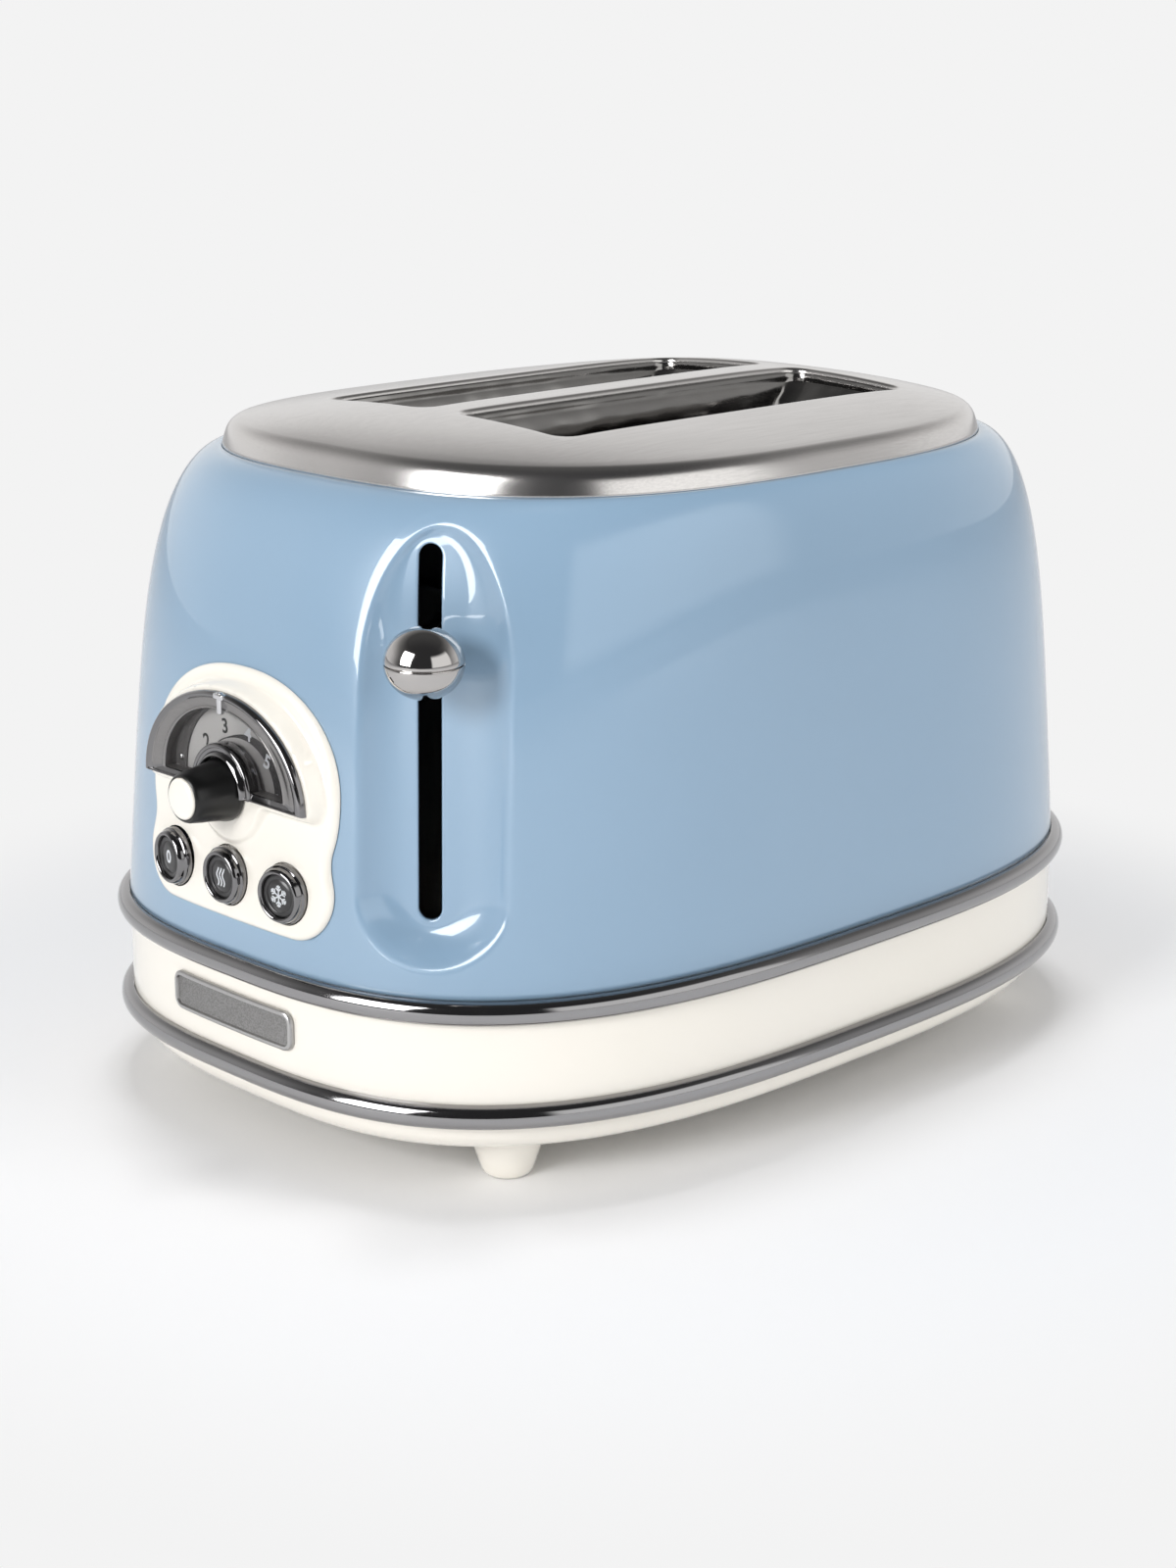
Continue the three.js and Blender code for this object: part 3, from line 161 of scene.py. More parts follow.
def make_piece(name, bm, body, finish, stands_for=(), sharp=40, outside=None):
    """A named piece that rides on a CAD body and may stand for some of its nodes."""
    piece = into_frame(name, bm, Vector(outside) if outside else None)
    piece.data.shade_smooth()
    piece.data.set_sharp_from_angle(angle=math.radians(sharp))
    piece.data.materials.append(finishes[finish])
    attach(piece, body)
    if stands_for:
        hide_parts(*stands_for)
    print(f"{name}: {len(piece.data.polygons)} faces")
    return piece


def turned(name, profile, place, steps, body, finish, stands_for=(), sharp=40):
    form = bmesh.new()
    turn_profile(form, profile, place, steps)
    return make_piece(name, form, body, finish, stands_for, sharp)


def thicken(piece, wall):
    """Gives a sheet its thickness, on the inside."""
    sheet = piece.modifiers.new("wall", "SOLIDIFY")
    sheet.thickness, sheet.offset = wall * MM, -1


def carve(piece, cutters):
    """Cuts closed bmeshes out of a piece."""
    shapes = [into_frame("cutter", form) for form in cutters]
    for shape in shapes:
        hole = piece.modifiers.new("hole", "BOOLEAN")
        hole.operation, hole.solver, hole.object = "DIFFERENCE", "EXACT", shape
    bpy.context.view_layer.update()
    finished = piece.evaluated_get(bpy.context.evaluated_depsgraph_get())
    cut = bpy.data.meshes.new_from_object(finished)
    piece.modifiers.clear()
    piece.data = cut
    for shape in shapes:
        bpy.data.objects.remove(shape)


# %% [markdown]
# ## Sizes taken from the CAD model
# The body is a superellipse that leans in slowly and then rolls over into a shoulder. The
# same few numbers shape every outline, so the skins sit exactly on the CAD parts.

# %% Body outlines
HALF_LENGTH, HALF_WIDTH, BODY_POWER = 151.1, 111.4, 2.95
PLATE_LENGTH, PLATE_WIDTH, PLATE_POWER = 114.3, 96.2, 2.87
TOP_REVEAL = 0.3
SHELL_BOTTOM, SHELL_TOP = 60.5, 194.4
PLATE_RIM_TOP, PLATE_CROWN = 201.0, 7.78
LEAN = 0.34


def body_size(z):
    t = min(max((z - SHELL_BOTTOM) / (SHELL_TOP - SHELL_BOTTOM), 0), 1)
    inset = LEAN * t + (1 - LEAN) * (1 - math.sqrt(1 - t ** 5))
    return (HALF_LENGTH + (PLATE_LENGTH + TOP_REVEAL - HALF_LENGTH) * inset,
            HALF_WIDTH + (PLATE_WIDTH + TOP_REVEAL - HALF_WIDTH) * inset,
            BODY_POWER + (PLATE_POWER - BODY_POWER) * inset)


def plan_point(length, width, power, angle):
    c, s = math.cos(angle), math.sin(angle)
    return (math.copysign(length * abs(c) ** (2 / power), c),
            math.copysign(width * abs(s) ** (2 / power), s))


def on_body(angle, z, proud=0):
    length, width, power = body_size(z)
    x, y = plan_point(length + proud, width + proud, power, angle)
    return Vector((x, y, z))


def end_surface(y, z, proud=0.0):
    """How far the -X end of the body, pushed out by 'proud', lies from the middle."""
    length, width, power = body_size(z)
    return (length + proud) * (1 - abs(y / (width + proud)) ** power) ** (1 / power)


def even_angles(count, crowd=None):
    """Angles that space points evenly round the body, closer together where crowd says."""
    angles = np.linspace(0, math.tau, 20001)
    points = np.array([plan_point(HALF_LENGTH, HALF_WIDTH, BODY_POWER, a) for a in angles])
    steps = np.hypot(*np.diff(points, axis=0).T)
    if crowd is not None:
        middles = (points[1:] + points[:-1]) / 2
        steps = steps * np.array([crowd(x, y) for x, y in middles])
    travel = np.concatenate([[0], np.cumsum(steps)])
    wanted = np.linspace(0, travel[-1], count, endpoint=False)
    return [float(a) for a in np.interp(wanted, travel, angles)]


plan_keys = [(a,) for a in even_angles(256)]
print("body", [2 * round(v, 1) for v in body_size(SHELL_BOTTOM)[:2]], "mm at the foot of the shell")

# %% [markdown]
# ## Writing a finish as a sum
# A finish is a small sum: a base value plus a little noise times a strength. Written as
# Python expressions such a sum is easy to read, so one small class wraps a socket and turns
# +, - and * into Math nodes. Every other node comes from one method.

# %% Shader expressions
class Value:
    """A number or colour that changes over a surface."""

    def __init__(self, finish, socket):
        self.finish, self.socket = finish, socket

    def math(self, operation, left, right):
        return self.finish.node("ShaderNodeMath", {"operation": operation}, {0: left, 1: right})

    def __add__(self, other): return self.math("ADD", self, other)
    def __radd__(self, other): return self.math("ADD", other, self)
    def __sub__(self, other): return self.math("SUBTRACT", self, other)
    def __rsub__(self, other): return self.math("SUBTRACT", other, self)
    def __mul__(self, other): return self.math("MULTIPLY", self, other)
    def __rmul__(self, other): return self.math("MULTIPLY", other, self)
    def __pow__(self, other): return self.math("POWER", self, other)


def linear(red, green, blue):
    """A colour as it is seen on a screen, 0 to 255, in the renderer's own scale."""
    def channel(value):
        value /= 255
        return value / 12.92 if value <= 0.04045 else ((value + 0.055) / 1.055) ** 2.4
    return (channel(red), channel(green), channel(blue), 1.0)


class Finish:
    """One material: a principled shader and the nodes that feed it."""

    def __init__(self, name, color, roughness, metallic=0.0, **plain):
        self.material = bpy.data.materials.new(name)
        self.material.use_nodes = True
        self.tree = self.material.node_tree
        self.shader = next(n for n in self.tree.nodes if n.type == "BSDF_PRINCIPLED")
        self.set("Base Color", color)
        self.set("Roughness", roughness)
        self.set("Metallic", metallic)
        for socket, value in plain.items():
            self.set(socket.replace("_", " "), value)

    def node(self, kind, settings=None, inputs=None, out=0):
        made = self.tree.nodes.new(kind)
        for key, value in (settings or {}).items():
            if key == "stops":
                ramp = made.color_ramp
                for i, (place, shade) in enumerate(value):
                    stop = ramp.elements[i] if i < len(ramp.elements) else ramp.elements.new(place)
                    stop.position, stop.color = place, shade
            else:
                setattr(made, key, value)
        for key, value in (inputs or {}).items():
            self.feed(made.inputs[key], value)
        return Value(self, made.outputs[out])

    def feed(self, socket, value):
        if isinstance(value, Value):
            self.tree.links.new(value.socket, socket)
        else:
            socket.default_value = value

    def set(self, socket, value):
        self.feed(self.shader.inputs[socket], value)

    def place(self, scale=(1, 1, 1), turn=(0, 0, 0), shift=(0, 0, 0)):
        """Object coordinates, stretched and turned."""
        spot = self.node("ShaderNodeTexCoord", out="Object")
        return self.node("ShaderNodeMapping", {}, {"Vector": spot, "Scale": scale,
                                                   "Rotation": turn, "Location": shift})

    def noise(self, size, detail=3.0, rough=0.5, spot=None):
        """Cloudy noise from 0 to 1 whose patches are about 'size' metres wide."""
        return self.node("ShaderNodeTexNoise", {}, {
            "Vector": spot or self.place(), "Scale": 1 / size, "Detail": detail,
            "Roughness": rough})

    def band(self, value, low, high, to_low=0.0, to_high=1.0):
        """Spreads the part of a value between low and high over a new range, with soft ends."""
        return self.node("ShaderNodeMapRange", {"interpolation_type": "SMOOTHSTEP"},
                         {0: value, 1: low, 2: high, 3: to_low, 4: to_high})

    def mix(self, share, first, second):
        return self.node("ShaderNodeMix", {"data_type": "RGBA"},
                         {0: share, 6: first, 7: second}, out=2)

    def bump(self, height, depth, strength=1.0):
        """Raises the surface by up to 'depth' metres where height is 1."""
        self.set("Normal", self.node("ShaderNodeBump", {}, {
            "Height": height, "Distance": depth, "Strength": strength}))


finishes = {}

# %% [markdown]
# ## Enamel
# The blue body is steel under baked enamel: colour below, a clear glossy coat above. A real
# coat is never quite flat, so a very weak wide noise bends the reflections, and a finer one
# gives the faint skin that paint has. Colour varies by a per cent or two, no more.

# %% Enamel and cream
def glossy_paint(name, color, shade, base_rough, coat_rough, wave):
    paint = Finish(name, color, base_rough, Coat_Weight=1.0, Coat_Roughness=coat_rough,
                   Coat_IOR=1.54, IOR=1.45)
    clouds = paint.noise(0.09, 2.0)
    paint.set("Base Color", paint.mix(paint.band(clouds, 0.3, 0.7), color, shade))
    specks = paint.noise(0.012, 4.0)
    paint.set("Roughness", base_rough + 0.08 * (specks - 0.5))
    peel = paint.noise(0.0035, 1.0)
    paint.bump(wave * peel + 6 * wave * paint.noise(0.055, 1.0), 0.0002, 0.25)
    return paint.material


BLUE, BLUE_SHADE = linear(144, 173, 198), linear(142, 171, 196)
CREAM, CREAM_SHADE = linear(251, 246, 236), linear(249, 244, 233)
finishes["enamel"] = glossy_paint("enamel", BLUE, BLUE_SHADE, 0.32, 0.03, 0.02)
finishes["cream"] = glossy_paint("cream", CREAM, CREAM_SHADE, 0.35, 0.06, 0.02)
print("painted finishes:", list(finishes))

# %% [markdown]
# ## Metals
# Three metals are on show. The top is brushed steel, whose fine scratches run along the
# slots; they are noise stretched fiftyfold. Trim, bezel and ball are plated, so they are
# nearly mirrors with a breath of haze. The collars are pressed a little wavy. Inside parts
# are dull zinc. All metals keep their colour in Base Color and differ mostly in roughness.

# %% Metals
def shaded(color, share):
    return (*(share * channel for channel in color[:3]), 1.0)


def brushed(name, color, rough, spread, stretch, grain, depth):
    metal = Finish(name, color, rough, 1.0)
    lines = metal.noise(grain, 2.0, 0.6, metal.place(scale=stretch))
    haze = metal.noise(0.03, 3.0)
    metal.set("Roughness", rough + spread * (lines - 0.5) + 0.06 * (haze - 0.5))
    metal.set("Base Color", metal.mix(metal.band(lines, 0.25, 0.75), color, shaded(color, 0.93)))
    metal.bump(lines, depth, 0.5)
    return metal.material


def plated(name, color, rough):
    metal = Finish(name, color, rough, 1.0)
    haze = metal.noise(0.018, 4.0)
    metal.set("Roughness", rough + 0.05 * metal.band(haze, 0.45, 0.8))
    metal.bump(metal.noise(0.006, 2.0), 0.00002, 0.2)
    return metal.material


BRUSHED = {  # colour, roughness, its spread, stretch of the scratches, their size and depth
    "steel": ("brushed_steel", (220, 217, 215), 0.22, 0.1, (0.02, 1, 1), 0.0004, 0.000006),
    "plate": ("satin_plate", (186, 185, 184), 0.36, 0.1, (1, 1, 1), 0.0006, 0.00004),
    "bezel_face": ("brushed_bezel", (146, 144, 143), 0.2, 0.1, (1, 0.05, 1), 0.0004, 0.000006),
    "zinc": ("zinc", (165, 166, 168), 0.4, 0.15, (1, 1, 0.2), 0.002, 0.000006)}
PLATED = {
    "chrome": ("chrome", (214, 214, 216), 0.05), "ball": ("ball_chrome", (188, 185, 183), 0.03),
    "trim": ("trim_chrome", (158, 157, 158), 0.08), "copper": ("copper", (190, 120, 80), 0.25),
    "smoky_chrome": ("smoky_chrome", (132, 131, 132), 0.06)}
for maker, rows in ((brushed, BRUSHED), (plated, PLATED)):
    for key, (name, color, *rest) in rows.items():
        finishes[key] = maker(name, linear(*color), *rest)
collar = Finish("collar_steel", linear(150, 148, 146), 0.13, 1.0)
collar.set("Roughness", 0.1 + 0.1 * collar.noise(0.02))
collar.bump(collar.noise(0.011, 1.0, 0.4, collar.place(scale=(0.6, 1, 1))), 0.0011, 0.5)
finishes["collar"] = collar.material
print("metals:", [*BRUSHED, *PLATED, "collar"])

# %% [markdown]
# ## Plastics and inner parts
# The knob is glossy black plastic, the dial behind it is printed, and the window is a thin
# smoked pane. Parts that are only seen through the slots still get an honest finish of
# their own: mica with its flecks, a green board, dull rubber.

# %% Plastics and inner finishes
def moulded(name, color, rough, coat=0.0, grain=0.0006, depth=0.00002):
    plastic = Finish(name, color, rough, Coat_Weight=coat, Coat_Roughness=0.05)
    fine = plastic.noise(grain, 2.0)
    clouds = plastic.noise(0.02, 3.0)
    plastic.set("Roughness", rough + 0.08 * (clouds - 0.5))
    plastic.set("Base Color", plastic.mix(clouds, color, shaded(color, 0.9)))
    plastic.bump(fine, depth, 0.3)
    return plastic.material


MOULDED = {  # colour, roughness, coat, size and depth of the grain
    "black": ("black_plastic", (5, 5, 6), 0.36, 0.1),
    "dark": ("dark_inside", (88, 86, 85), 0.4, 0.2),
    "button_black": ("button_black", (34, 33, 34), 0.32, 0.3),
    "print_white": ("white_print", (225, 228, 232), 0.5),
    "print_black": ("black_print", (28, 27, 28), 0.5),
    "mica": ("mica", (150, 125, 95), 0.45, 0.2, 0.003, 0.00005),
    "circuit": ("circuit_green", (30, 80, 55), 0.4, 0.3),
    "rubber": ("rubber", (40, 40, 41), 0.75, 0.0, 0.0008, 0.00004)}
for key, (name, color, *rest) in MOULDED.items():
    finishes[key] = moulded(name, linear(*color), *rest)
pane = Finish("smoked_pane", linear(70, 68, 68), 0.04, IOR=1.49)
pane.set("Roughness", 0.04 + 0.05 * pane.noise(0.02))
pane.set("Alpha", 0.12)
finishes["smoked"] = pane.material
print(len(finishes), "finishes")

# %% [markdown]
# ## The pressed body skin
# The real shell is one pressed sheet with a long dish for the lever. It could be cut with a
# boolean and bevelled, but a glossy coat shows every uneven face along such a cut. So the
# sheet is grown level by level, a window is left open in its grid, and the rim of that
# window is pulled in: over a soft lip, down the wall, across the floor, to the lever slot.

# %% Dish outline
RECESS_X, RECESS_Y, RECESS_TURN = -125.7, -60.4, 32.0
DISH_HALF, DISH_SHIFT, DISH_TOP, DISH_TOP_RISE = 23.2, 1.9, 148.0, 42.3
DISH_BOTTOM, DISH_BOTTOM_RISE = 88.0, 20.6
FLOOR_LEAN, FLOOR_PIVOT = 0.086, 114.0
CURL_START, FLOOR_CURL = 155.0, 0.00014
recess_frame = facing(RECESS_TURN, RECESS_X, RECESS_Y, 0)


def dish_line(side, value, inset):
    """A point of the dish's outline: its straight sides, or its round top and bottom."""
    half = DISH_HALF - inset
    if side == "top":
        rise = (DISH_TOP_RISE - inset) * math.sin(value)
        return DISH_SHIFT + half * math.cos(value), DISH_TOP + rise
    if side == "bottom":
        drop = (DISH_BOTTOM_RISE - inset) * math.sin(value)
        return DISH_SHIFT + half * math.cos(value), DISH_BOTTOM - drop
    return DISH_SHIFT + half * side, value


def skin_out(across, z):
    """How far the body's skin stands out of the plane of the dish."""
    length, width, power = body_size(z)
    low, high = -60.0, 60.0
    for _ in range(36):
        middle = (low + high) / 2
        spot = recess_frame @ Vector((across, z, middle))
        if abs(spot.x / length) ** power + abs(spot.y / width) ** power > 1:
            high = middle
        else:
            low = middle
    return low


def floor_out(z):
    return FLOOR_LEAN * (FLOOR_PIVOT - z) - FLOOR_CURL * max(0, z - CURL_START) ** 3


def recess_spot(across, z, out):
    return recess_frame @ Vector((across, z, out))


def on_floor(across, z):
    return recess_spot(across, z, floor_out(z))


# %% Lever slot outline
LEVER_TURN, LEVER_OFFSET = 40.0, 0.8
SLOT_ROLL = ((0.5, 0), (0.25, 0.08), (0.07, 0.25), (0, 0.5), (0, 1.5))  # grow, depth
SLOT_HALF, SLOT_TOP, SLOT_BOTTOM = 3.35, 182.9, 79.4
MIDDLE, END_WEIGHT = 118.0, 2.6
slot_slope = math.tan(math.radians(LEVER_TURN - RECESS_TURN))


def end_arc(rise):
    """Angles round one end of the dish, and how far along the arc each one lies."""
    angles = np.linspace(0, math.pi, 721)
    steps = np.hypot(np.diff(DISH_HALF * np.cos(angles)), np.diff(rise * np.sin(angles)))
    return angles, np.concatenate([[0], np.cumsum(steps)])


ends = {"top": end_arc(DISH_TOP_RISE), "bottom": end_arc(DISH_BOTTOM_RISE)}
straights = {"top": DISH_TOP - MIDDLE, "bottom": MIDDLE - DISH_BOTTOM}


def dish_share(side, value):
    """Which end of the dish a key belongs to, and how far round that half it lies, 0 to 1."""
    end = side if side in ends else ("top" if value > MIDDLE else "bottom")
    angles, travel = ends[end]
    whole = 2 * straights[end] + travel[-1]
    if side in ends:
        return end, (straights[end] + float(np.interp(value, angles, travel))) / whole
    along = abs(value - MIDDLE)
    return end, (along if side > 0 else whole - along) / whole


def slot_line(side, value, grow):
    """The point of the slot's outline that lies as far round as this key does on the dish."""
    end, share = dish_share(side, value)
    up, tip = (1, SLOT_TOP) if end == "top" else (-1, SLOT_BOTTOM)
    straight, arc = abs(tip - MIDDLE) - SLOT_HALF, END_WEIGHT * math.pi * SLOT_HALF
    travel = share * (2 * straight + arc)
    turn = min(max((travel - straight) / arc, 0), 1) * math.pi
    along = min(travel, straight, 2 * straight + arc - travel)
    half = SLOT_HALF + grow
    return half * math.cos(turn), MIDDLE + up * (along + half * math.sin(turn))


def slot_spot(side, value, grow, depth):
    across, z = slot_line(side, value, grow)
    out = floor_out(z) - depth
    return recess_spot(across - LEVER_OFFSET + out * slot_slope, z, out)


# %% [markdown]
# ## The lip of the dish
# The lip has to be soft where it leaves the skin and soft again where it reaches the floor.
# Four points fix it: one on the skin, the sharp corner above, the sharp corner below and
# one on the floor. A Bezier curve whose upper corner counts twice is tight above, soft below.

# %% Dish lip
LIP_START, LIP_CORNER, WALL_DRAFT, FOOT_WIDTH, LIP_STEPS = -1.6, 2.4, 0.35, 15.0, 30


def slot_room(across, z):
    """How far a point of the dish's floor lies from the edge of the slot."""
    middle = floor_out(z) * slot_slope - LEVER_OFFSET
    near = min(max(z, SLOT_BOTTOM + SLOT_HALF), SLOT_TOP - SLOT_HALF)
    return math.hypot(across - middle, z - near) - SLOT_HALF - SLOT_ROLL[0][0]


def lip_points(side, value):
    start_flat = dish_line(side, value, LIP_START)
    start = recess_spot(*start_flat, skin_out(*start_flat))
    corner_flat = dish_line(side, value, LIP_CORNER)
    corner = recess_spot(*corner_flat, skin_out(*corner_flat))
    depth = skin_out(*corner_flat) - floor_out(corner_flat[1])
    foot_inset = LIP_CORNER + WALL_DRAFT * depth
    foot_flat = dish_line(side, value, foot_inset)
    foot = on_floor(*foot_flat)
    room = max(0.82 * slot_room(*foot_flat) - 0.4, 0.1)
    end_flat = dish_line(side, value, foot_inset + min(FOOT_WIDTH, room))
    return start_flat, end_flat, (start, corner, corner, foot, on_floor(*end_flat))


def bezier(points, share):
    while len(points) > 1:
        points = [a.lerp(b, share) for a, b in zip(points, points[1:])]
    return points[0]


# %% [markdown]
# ## Growing the skin
# Columns stand closer together round the dish, and levels closer together on the shoulder,
# because that is where the skin turns fastest. Behind the control panel the skin is left
# open, as the panel has its own back.

# %% Skin grid
def crowd_dish(x, y):
    return 2.1 if (Vector((x, y)) - Vector((RECESS_X, RECESS_Y))).length < 52 and y < 0 else 1.0


heights = np.linspace(SHELL_BOTTOM, SHELL_TOP, 4001)
lengths = np.array([body_size(z)[0] for z in heights])
climb = np.concatenate([[0], np.cumsum(np.hypot(np.diff(heights), np.diff(lengths)))])


def between(low, high, share):
    """A level part of the way from one to the other, measured along the skin."""
    ends_climb = np.interp((low, high), heights, climb)
    return float(np.interp(ends_climb[0] + (ends_climb[1] - ends_climb[0]) * share, climb, heights))


columns = even_angles(260, crowd_dish)
LEVELS = 82
levels = [between(SHELL_BOTTOM, SHELL_TOP, i / (LEVELS - 1)) for i in range(LEVELS)]
skin = bmesh.new()
rows = loft(skin, list(enumerate(columns)), lambda i, a, z: on_body(a, z), [(z,) for z in levels])
place_of = {v: (key[0], row) for row, rim in enumerate(rows) for v, key in rim.keys.items()}


def across_of(column, z=120.0):
    return (recess_frame.inverted() @ on_body(columns[column], z)).x


front = [i for i, a in enumerate(columns) if math.pi < a < 1.5 * math.pi]
first_column = max(i for i in front if across_of(i) < -30.5)
last_column = min(i for i in front if across_of(i) > 31.5)
first_row = max(r for r, z in enumerate(levels) if z < 62.6)
last_row = max(r for r, z in enumerate(levels) if z < SHELL_TOP - 0.3)


def in_window(column, row):
    return first_column <= column <= last_column and first_row <= row <= last_row


window = [f for f in skin.faces if all(in_window(*place_of[v]) for v in f.verts)]
bmesh.ops.delete(skin, geom=window, context="FACES")
print("dish window:", last_column - first_column, "by", last_row - first_row, "faces")

# %% [markdown]
# ## Pulling the window into the dish
# Each vertex on the rim of the window gets a place on the dish's outline, shared out by
# distance, so the quads fan evenly round the ends.

# %% Dish rim
recess_back = recess_frame.inverted()


def key_at(end, share):
    """The key of the point that lies this far round one half of the dish."""
    angles, travel = ends[end]
    straight = straights[end]
    whole = 2 * straight + travel[-1]
    along = share * whole
    if straight < along < whole - straight:
        return end, float(np.interp(along - straight, travel, angles))
    rise = min(along, whole - along) * (1 if end == "top" else -1)
    return (1 if share < 0.5 else -1), MIDDLE + rise


middle_row = min(range(len(levels)), key=lambda r: abs(levels[r] - MIDDLE))
key_of = {}
for end, edge_row, step in (("top", last_row, 1), ("bottom", first_row, -1)):
    path = [(last_column, r) for r in range(middle_row, edge_row, step)]
    path += [(c, edge_row) for c in range(last_column, first_column, -1)]
    path += [(first_column, r) for r in range(edge_row, middle_row - step, -step)]
    spots = [on_body(columns[c], levels[r]) for c, r in path]
    steps = [(b - a).length for a, b in zip(spots, spots[1:])]
    travel = np.concatenate([[0], np.cumsum(steps)])
    for place, along in zip(path, travel):
        key_of[place] = key_at(end, along / travel[-1])


def dish_key(vert):
    spot = recess_back @ vert.co
    return *key_of[place_of[vert]], spot.x, spot.y


edges = [e for e in skin.edges if e.is_boundary and all(in_window(*place_of[v]) for v in e.verts)]
keys = {v: dish_key(v) for e in edges for v in e.verts}
lips = {key: lip_points(*key[:2]) for key in keys.values()}
rim = Rim(edges, keys)
for share in (0.16, 0.32, 0.48, 0.64, 0.78, 0.9):
    def on_skin(side, value, across, z):
        start = lips[(side, value, across, z)][0]
        a, h = across + (start[0] - across) * share, between(z, start[1], share)
        return recess_spot(a, h, skin_out(a, h))
    rim = rim.grow(skin, on_skin)
for step in range(LIP_STEPS + 1):
    rim = rim.grow(skin, lambda *key: bezier(list(lips[key][2]), step / LIP_STEPS))

# %% [markdown]
# ## The lever slot
# From the foot of the wall the floor runs flat to the slot, whose edge rolls in a little
# before the sheet ends. The slot is cut at a slightly different angle from the floor,
# because it points at the carriage.

# %% Slot
def toward_slot(key, share):
    end, edge = Vector(lips[key][1]), recess_back @ slot_spot(*key[:2], *SLOT_ROLL[0])
    return on_floor(*end.lerp(edge.xy, share))


for share in (0.1, 0.22, 0.36, 0.5, 0.64, 0.78, 0.9):
    rim = rim.grow(skin, lambda *key: toward_slot(key, share))
for grow, depth in SLOT_ROLL:
    rim = rim.grow(skin, lambda *key: slot_spot(*key[:2], grow, depth))

# %% [markdown]
# ## Skin edges and thickness
# At the top the sheet turns down beside the steel plate, which leaves the thin dark gap
# that the real one shows. Then the part hidden by the panel goes, and the sheet gets its
# thickness on the inside.

# %% Skin finish
PANEL_HALF, PANEL_CENTRE, PANEL_RISE, PANEL_POWER = 42.2, 109.2, 34.2, 2.25
PANEL_BOTTOM, LOBE_COVER, HIDDEN_MARGIN = 70.6, 38.8, 2.6
rim = rows[-1]
for inset, drop in ((0.35, 0.15), (0.5, 0.7)):
    rim = rim.grow(skin, lambda i, a: on_body(a, SHELL_TOP, -inset) - Vector((0, 0, drop)))


def behind_panel(x, y, z):
    """Whether a spot of the skin is covered by the crown or the lobes of the panel."""
    across = abs(y) / (PANEL_HALF - HIDDEN_MARGIN)
    upward = abs(z - PANEL_CENTRE) / (PANEL_RISE - HIDDEN_MARGIN)
    lobes = abs(y) < LOBE_COVER - HIDDEN_MARGIN and PANEL_BOTTOM + HIDDEN_MARGIN < z < 100
    return x < 0 and (across ** PANEL_POWER + upward ** PANEL_POWER < 1 or lobes)


hidden = [f for f in skin.faces if behind_panel(*f.calc_center_median())]
bmesh.ops.delete(skin, geom=hidden, context="FACES")
thicken(make_piece("body_skin", skin, "housing", "enamel", ["body_shell"], 60, (1, 0, 0)), 1.4)

# %% [markdown]
# ## The steel top
# The top is one more pressed sheet: a low dome with two slot mouths and an upright polished
# rim. It starts as a flat grid with one opening per slot. The rim of each opening is pulled
# in over a rolled lip, and the outer edge is pulled out to the body's outline and down.

# %% Top plate
SLOT_SHIFT, SLOT_LONG, SLOT_WIDE, SLOT_SPACING, SLOT_CORNER = 5.7, 74.2, 23.1, 59.4, 5.4


def crown_height(x, y):
    def fall(x, y):
        return abs(x / PLATE_LENGTH) ** 6 + abs(y / PLATE_WIDTH) ** 2.2
    edge = max(abs(x / PLATE_LENGTH) ** PLATE_POWER + abs(y / PLATE_WIDTH) ** PLATE_POWER, 1e-6)
    reach = edge ** (1 / PLATE_POWER)
    rest = 1 - fall(x, y) - (1 - fall(x / reach, y / reach)) * edge ** 2.5
    return PLATE_CROWN * (rest + math.sqrt(rest * rest + 0.004)) / 2


def on_dome(x, y, drop=0.0):
    return Vector((x, y, PLATE_RIM_TOP + crown_height(x, y) - drop))


MOUTH_MARGIN, FRAME_MARGIN = 3.4, 3.0
reach_x, reach_y = SLOT_LONG + MOUTH_MARGIN, SLOT_WIDE + MOUTH_MARGIN
mouth_x = (SLOT_SHIFT - reach_x, SLOT_SHIFT + reach_x)
mouth_y = (SLOT_SPACING / 2 - reach_y, SLOT_SPACING / 2 + reach_y)
x_lines = [mouth_x[0] - FRAME_MARGIN, *np.linspace(*mouth_x, 61), mouth_x[1] + FRAME_MARGIN]
half_lines = [*np.linspace(*mouth_y, 22), mouth_y[1] + FRAME_MARGIN]
y_lines = [-y for y in reversed(half_lines)] + [-mouth_y[0] / 3, mouth_y[0] / 3] + half_lines
top = bmesh.new()
bmesh.ops.create_grid(top, x_segments=len(x_lines) - 1, y_segments=len(y_lines) - 1, size=1)
for v in top.verts:
    i = round((v.co.x + 1) / 2 * (len(x_lines) - 1))
    j = round((v.co.y + 1) / 2 * (len(y_lines) - 1))
    v.co = on_dome(float(x_lines[i]), float(y_lines[j]))
rim_edges = [e for e in top.edges if e.is_boundary]
mouths = [f for f in top.faces if mouth_x[0] < f.calc_center_median().x < mouth_x[1]
          and mouth_y[0] < abs(f.calc_center_median().y) < mouth_y[1]]
bmesh.ops.delete(top, geom=mouths, context="FACES")
print("plate grid:", len(x_lines), "by", len(y_lines), "lines,", len(top.faces), "faces kept")

# %% [markdown]
# ## Slot mouths and rim
# A vertex on an opening moves to the nearest point of a rectangle with round corners. The
# same key then carries it over the lip and down inside. Outside, each vertex heads straight
# for the outline, over a tight bend and down the upright rim, which is what catches the
# white reflections.

# %% Lips and rim
LIP_ROLL = ((1.6, 0.0), (1.0, 0.06), (0.55, 0.28), (0.2, 0.65), (0.04, 1.1), (0, 1.6), (0, 3.4))


